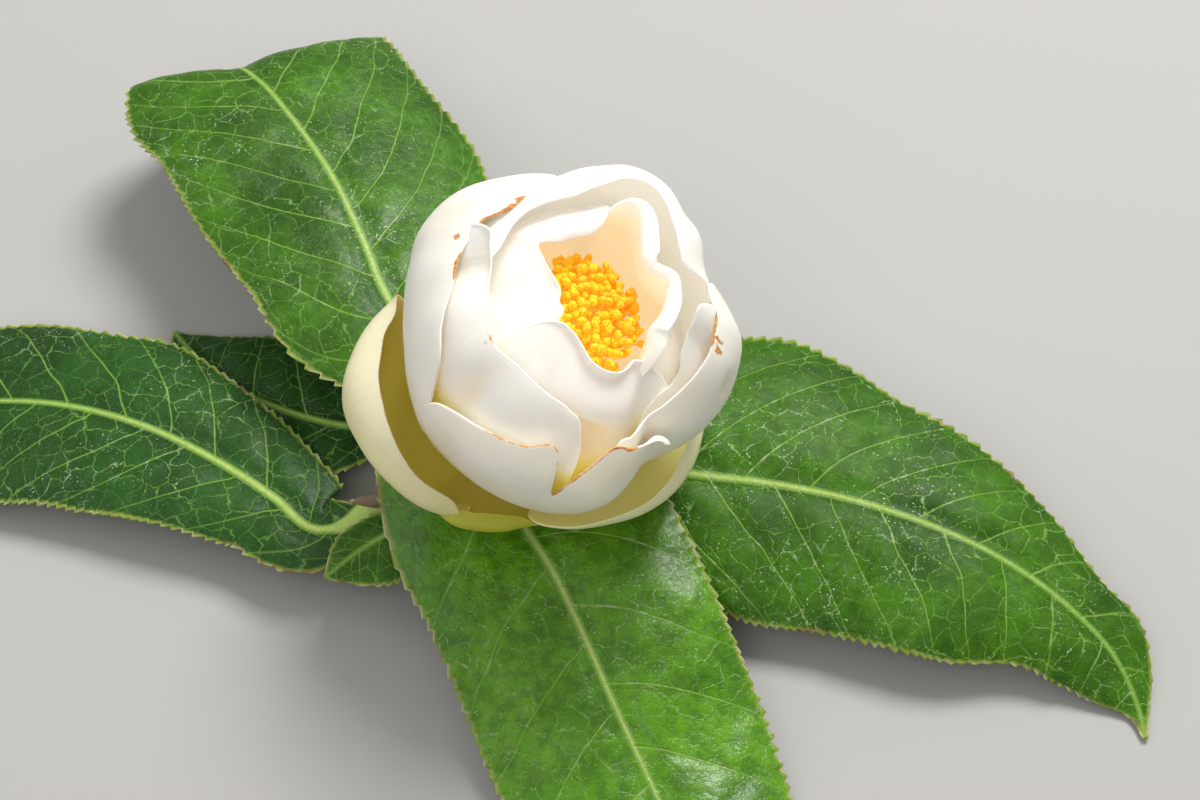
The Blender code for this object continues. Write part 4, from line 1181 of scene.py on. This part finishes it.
# %% The vein group
leaf_veins, given, result = new_group(
    "leaf veins", ("Along", "Across", "Line", "Spacing"), ("Side Veins", "Net", "Fine Net")
)
sockets = {"X": given["Along"], "Y": given["Across"]}
blade_place = add_node(leaf_veins, "ShaderNodeCombineXYZ", sockets).outputs[0]
line = scaled(maths("GREATER_THAN", given["Across"], 0.0), VEIN_OFFSET, given["Line"])
from_vein = maths("ABSOLUTE", maths("SUBTRACT", maths("FRACT", line), 0.5))
from_vein = times(maths("SUBTRACT", 0.5, from_vein), given["Spacing"])
set_sockets(result, {"Side Veins": mask(from_vein, 0.32, 0.08)})
shake = add_node(leaf_veins, "ShaderNodeTexNoise", {"Vector": blade_place, "Scale": 0.35, "Detail": 3.0})
sockets = {0: shake.outputs["Color"], 1: (3.0, 3.0, 0.0), 2: blade_place}
bent = add_node(leaf_veins, "ShaderNodeVectorMath", sockets, operation="MULTIPLY_ADD").outputs[0]
for label, scale, low, high in (("Net", 0.27, 0.042, 0.006), ("Fine Net", 0.70, 0.080, 0.02)):
    sockets = {"Vector": bent, "Scale": scale}
    settings = {"feature": "DISTANCE_TO_EDGE", "voronoi_dimensions": "2D"}
    cells = add_node(leaf_veins, "ShaderNodeTexVoronoi", sockets, **settings)
    set_sockets(result, {label: mask(cells.outputs["Distance"], low, high)})


# %% Leaf material
def leaf_finish(name, dark, light, spacing, dust_and_sheen_amount, gloss):
    made, tree, shader, place = new_material(name)
    across, margin_mm, under = (attribute(tree, label) for label in ("across_mm", "margin_mm", "under"))
    along, line = attribute(tree, "along_mm"), attribute(tree, "vein_line")
    sockets = {"Along": along, "Across": across, "Line": line, "Spacing": spacing}
    veins = add_node(tree, "ShaderNodeGroup", sockets, node_tree=leaf_veins)
    side = times(veins.outputs["Side Veins"], scaled(mask(margin_mm, 0.8, 9.0), 0.6, 0.4))
    net = times(veins.outputs["Net"], scaled(mask(noise(place, 90.0), 0.32, 0.62), 0.75, 0.25))
    fine = veins.outputs["Fine Net"]
    from_rib = maths("SUBTRACT", maths("ABSOLUTE", across), attribute(tree, "rib_mm"))
    crinkle = noise(place, 380.0, 3.0, 0.6)
    margin = mask(scaled(noise(place, 420.0), 0.8, margin_mm), 1.35, 0.55)
    tips = times(mask(margin_mm, 0.35, 0.10), mask(noise(place, 300.0), 0.42, 0.58))
    # Patches of real chalky dust, which also carry the faint haze of painted sheen below.
    dust_and_sheen_patches = mask(noise(place, 45.0, 3.0), 0.44, 0.70)
    patchy = mask(noise(place, 620.0, 3.0, 0.65), 0.48, 0.62)
    flecks = mask(noise(place, 2400.0, 2.0, 0.6), 0.64, 0.69)
    flecks = times(flecks, mask(noise(place, 260.0), 0.42, 0.58))
    lines = times(maths("MAXIMUM", net, side), scaled(dust_and_sheen_patches, 0.8, 0.2))
    chalk = maths("MAXIMUM", times(flecks, scaled(dust_and_sheen_patches, 0.7, 0.3)), times(times(lines, patchy), 0.42))
    chalk = times(chalk, dust_and_sheen_amount)
    colour = layered(
        blend_colour(mask(noise(place, 75.0, 3.0), 0.25, 0.72), dark, light),
        # Darker green in the dips of the crinkle: painted shade.
        (times(mask(crinkle, 0.60, 0.36), 0.4), (0.010, 0.045, 0.001)),
        (times(fine, 0.14), (0.07, 0.21, 0.03)),
        (times(net, 0.60), (0.17, 0.36, 0.05)),
        (times(side, 0.75), (0.18, 0.36, 0.04)),
        (mask(from_rib, 0.30, -0.20), (0.18, 0.34, 0.055)),
        (mask(from_rib, -0.15, -0.55), (0.40, 0.54, 0.14)),
        (margin, (0.25, 0.33, 0.05)),
        (tips, (0.50, 0.50, 0.28)),
        (times(margin, mask(noise(place, 210.0, 3.0), 0.56, 0.66)), (0.22, 0.13, 0.06)),
        # A faint pale haze over the dusty patches: partly dust, partly painted sheen.
        (times(times(dust_and_sheen_patches, patchy), 0.04 * dust_and_sheen_amount), (0.50, 0.60, 0.52)),
        (times(under, 0.7), (0.16, 0.30, 0.07)),
        (times(chalk, maths("SUBTRACT", 1.0, under)), (0.58, 0.68, 0.46)),
    )
    rough = scaled(noise(place, 160.0, 3.0), 0.24, 0.44 - 0.26 * gloss)
    rough = scaled(under, 0.3, maths("MAXIMUM", rough, times(chalk, 0.8)))
    sunk = maths("MAXIMUM", times(net, 0.7), maths("MAXIMUM", side, times(fine, 0.35)))
    crinkled = bump(crinkle, 0.00050, 0.45 + 0.25 * gloss)
    set_sockets(shader, {
        "Base Color": colour, "Roughness": rough,
        "Normal": bump(maths("SUBTRACT", 1.0, sunk), 0.00013, 0.9, crinkled),
        "Specular IOR Level": 0.12 + 0.18 * gloss, "Coat Weight": 0.16 * gloss, "Coat Roughness": 0.2,
        "Subsurface Weight": 0.10, "Subsurface Radius": (0.5, 1.0, 0.2), "Subsurface Scale": 0.0008,
    })
    return made


BRIGHT_GREENS = (0.022, 0.086, 0.001), (0.060, 0.19, 0.003)
# These greens are the leaf green darkened as painted shade, for leaf_4 and leaf_5, which lie in shade.
SHADED_GREENS = (0.008, 0.042, 0.005), (0.020, 0.094, 0.010)
FRONT_GREENS = (0.052, 0.175, 0.001), (0.115, 0.32, 0.004)
SMALL_GREENS = (0.030, 0.10, 0.010), (0.065, 0.19, 0.020)
plain_spacing = PLAIN_VEINS[0]
right_leaf = leaf_finish("right leaf", *BRIGHT_GREENS, plain_spacing, 1.0, 0.15)
back_leaf = leaf_finish("back leaf", *BRIGHT_GREENS, plain_spacing, 1.0, 0.55)
front_leaf = leaf_finish("front leaf", *FRONT_GREENS, VEINS["leaf_2_front"][0], 0.7, 1.0)
shaded_leaf = leaf_finish("shaded leaf", *SHADED_GREENS, plain_spacing, 0.7, 0.4)
small_leaf = leaf_finish("small leaf", *SMALL_GREENS, VEINS["leaf_6_small"][0], 0.5, 0.3)
LEAF_FINISHES = {
    "leaf_1_right": right_leaf, "leaf_2_front": front_leaf, "leaf_3_back_left": back_leaf,
    "leaf_4_left": shaded_leaf, "leaf_5_behind": shaded_leaf, "leaf_6_small": small_leaf,
}
print("leaf finishes ready")


# %% Build the leaves
def build_leaf(name, spec, material):
    piece, u, v = grid_piece(name, *spec["cells"])
    # The grid's lines draw together towards the margins, where the teeth are.
    c = 2 * v - 1
    v = (np.sign(c) * (1 - (1 - np.abs(c)) ** 1.25) + 1) / 2
    points, along, across, margin, blade, line = leaf_surface(name, spec, u, v)
    move_points(piece, points, SPRIG)
    values = {
        "along_mm": along, "across_mm": across, "vein_line": line,
        "margin_mm": np.where(blade > 0.3, margin, 5.0), "rib_mm": 0.80 * (1 - 0.7 * u) + 3 * (1 - blade),
    }
    for label, value in values.items():
        store(piece, label, value)
    into_blade = np.clip((u - spec["stalk"]) / 0.08, 0, 1)
    weights = 1 - into_blade * (1 - BLADE_THICKNESS / STALK_THICKNESS)
    weights = weights * (1 - MARGIN_THINNING * into_blade * soft_step(np.abs(2 * v - 1), 0.9, 1.0))
    thicken(piece, STALK_THICKNESS, weights)
    heights = point_cloud(piece)[:, 2].reshape(2, -1).mean(axis=1)
    mark_side(piece, "under", 1.0 if heights[0] < heights[1] else 0.0)
    finish_piece(piece, material, "leaf", name)


for name, spec in LEAVES.items():
    build_leaf(name, spec, LEAF_FINISHES[name])

# %% [markdown]
# ## The twig and the receptacle
# The twig is young wood with thin grey-brown bark. A tube along its path gets knobs where the leaf stalks
# leave it and small pale pores, and swells a little towards its cut end.

# %% Twig
TWIG_PATH = [
    (-0.6, 0.5, 18.6), (-2.3, 0.9, 15), (-6.5, -0.6, 10.6), (-15, -3.6, 6.4), (-31, -7, 3.1),
    (-46, -8.2, 2.4),
]
TWIG_RADII, TWIG_SIDES = (1.85, 2.12), 24
# How far down the twig each knob is, and how far it stands out.
KNOBS = [(5.5, 0.22), (15.5, 0.25), (22.0, 0.22)]
last = len(TWIG_PATH) - 1
steps = np.linspace(0, last, 90)
twig_line = curve_through([(i, *point) for i, point in enumerate(TWIG_PATH)], steps)
travelled = np.concatenate([[0], np.cumsum(np.linalg.norm(np.diff(twig_line, axis=0), axis=1))])
girth = np.interp(steps, (0, last), TWIG_RADII)
for knob_at, size in KNOBS:
    girth = girth + size * np.exp(-(((travelled - knob_at) / 1.1) ** 2))
points, faces = tube_rings(twig_line, girth, TWIG_SIDES)
outwards = unit(points - np.repeat(twig_line, TWIG_SIDES, 0))
points = points + outwards * ripples(points, (0.05, 1.6, 9))[:, None]
twig = mesh_piece("twig", to_row(points, SPRIG), faces)

# %% Bark, and the receptacle's green
bark, tree, shader, place = new_material("young bark")
streaks = noise(place, 260.0, 4.0, 0.6)
pores = add_node(tree, "ShaderNodeTexVoronoi", {"Vector": place, "Scale": 420.0}).outputs["Distance"]
colour = layered(
    blend_colour(streaks, (0.10, 0.075, 0.04), (0.26, 0.20, 0.12)),
    (times(mask(noise(place, 60.0), 0.42, 0.62), 0.4), (0.14, 0.20, 0.05)),
    (mask(pores, 0.24, 0.15), (0.50, 0.42, 0.30)),
)
set_sockets(shader, {"Base Color": colour, "Roughness": 0.82, "Normal": bump(streaks, 0.0003, 0.7)})
finish_piece(twig, bark, "bark", "twig")

knob, tree, shader, place = new_material("green receptacle")
set_sockets(shader, {
    "Base Color": blend_colour(noise(place, 220.0, 3.0), (0.22, 0.30, 0.08), (0.42, 0.48, 0.18)),
    "Roughness": 0.6, "Normal": bump(noise(place, 700.0, 3.0), 0.0002, 0.5),
})
refinish(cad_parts["receptacle"], knob)
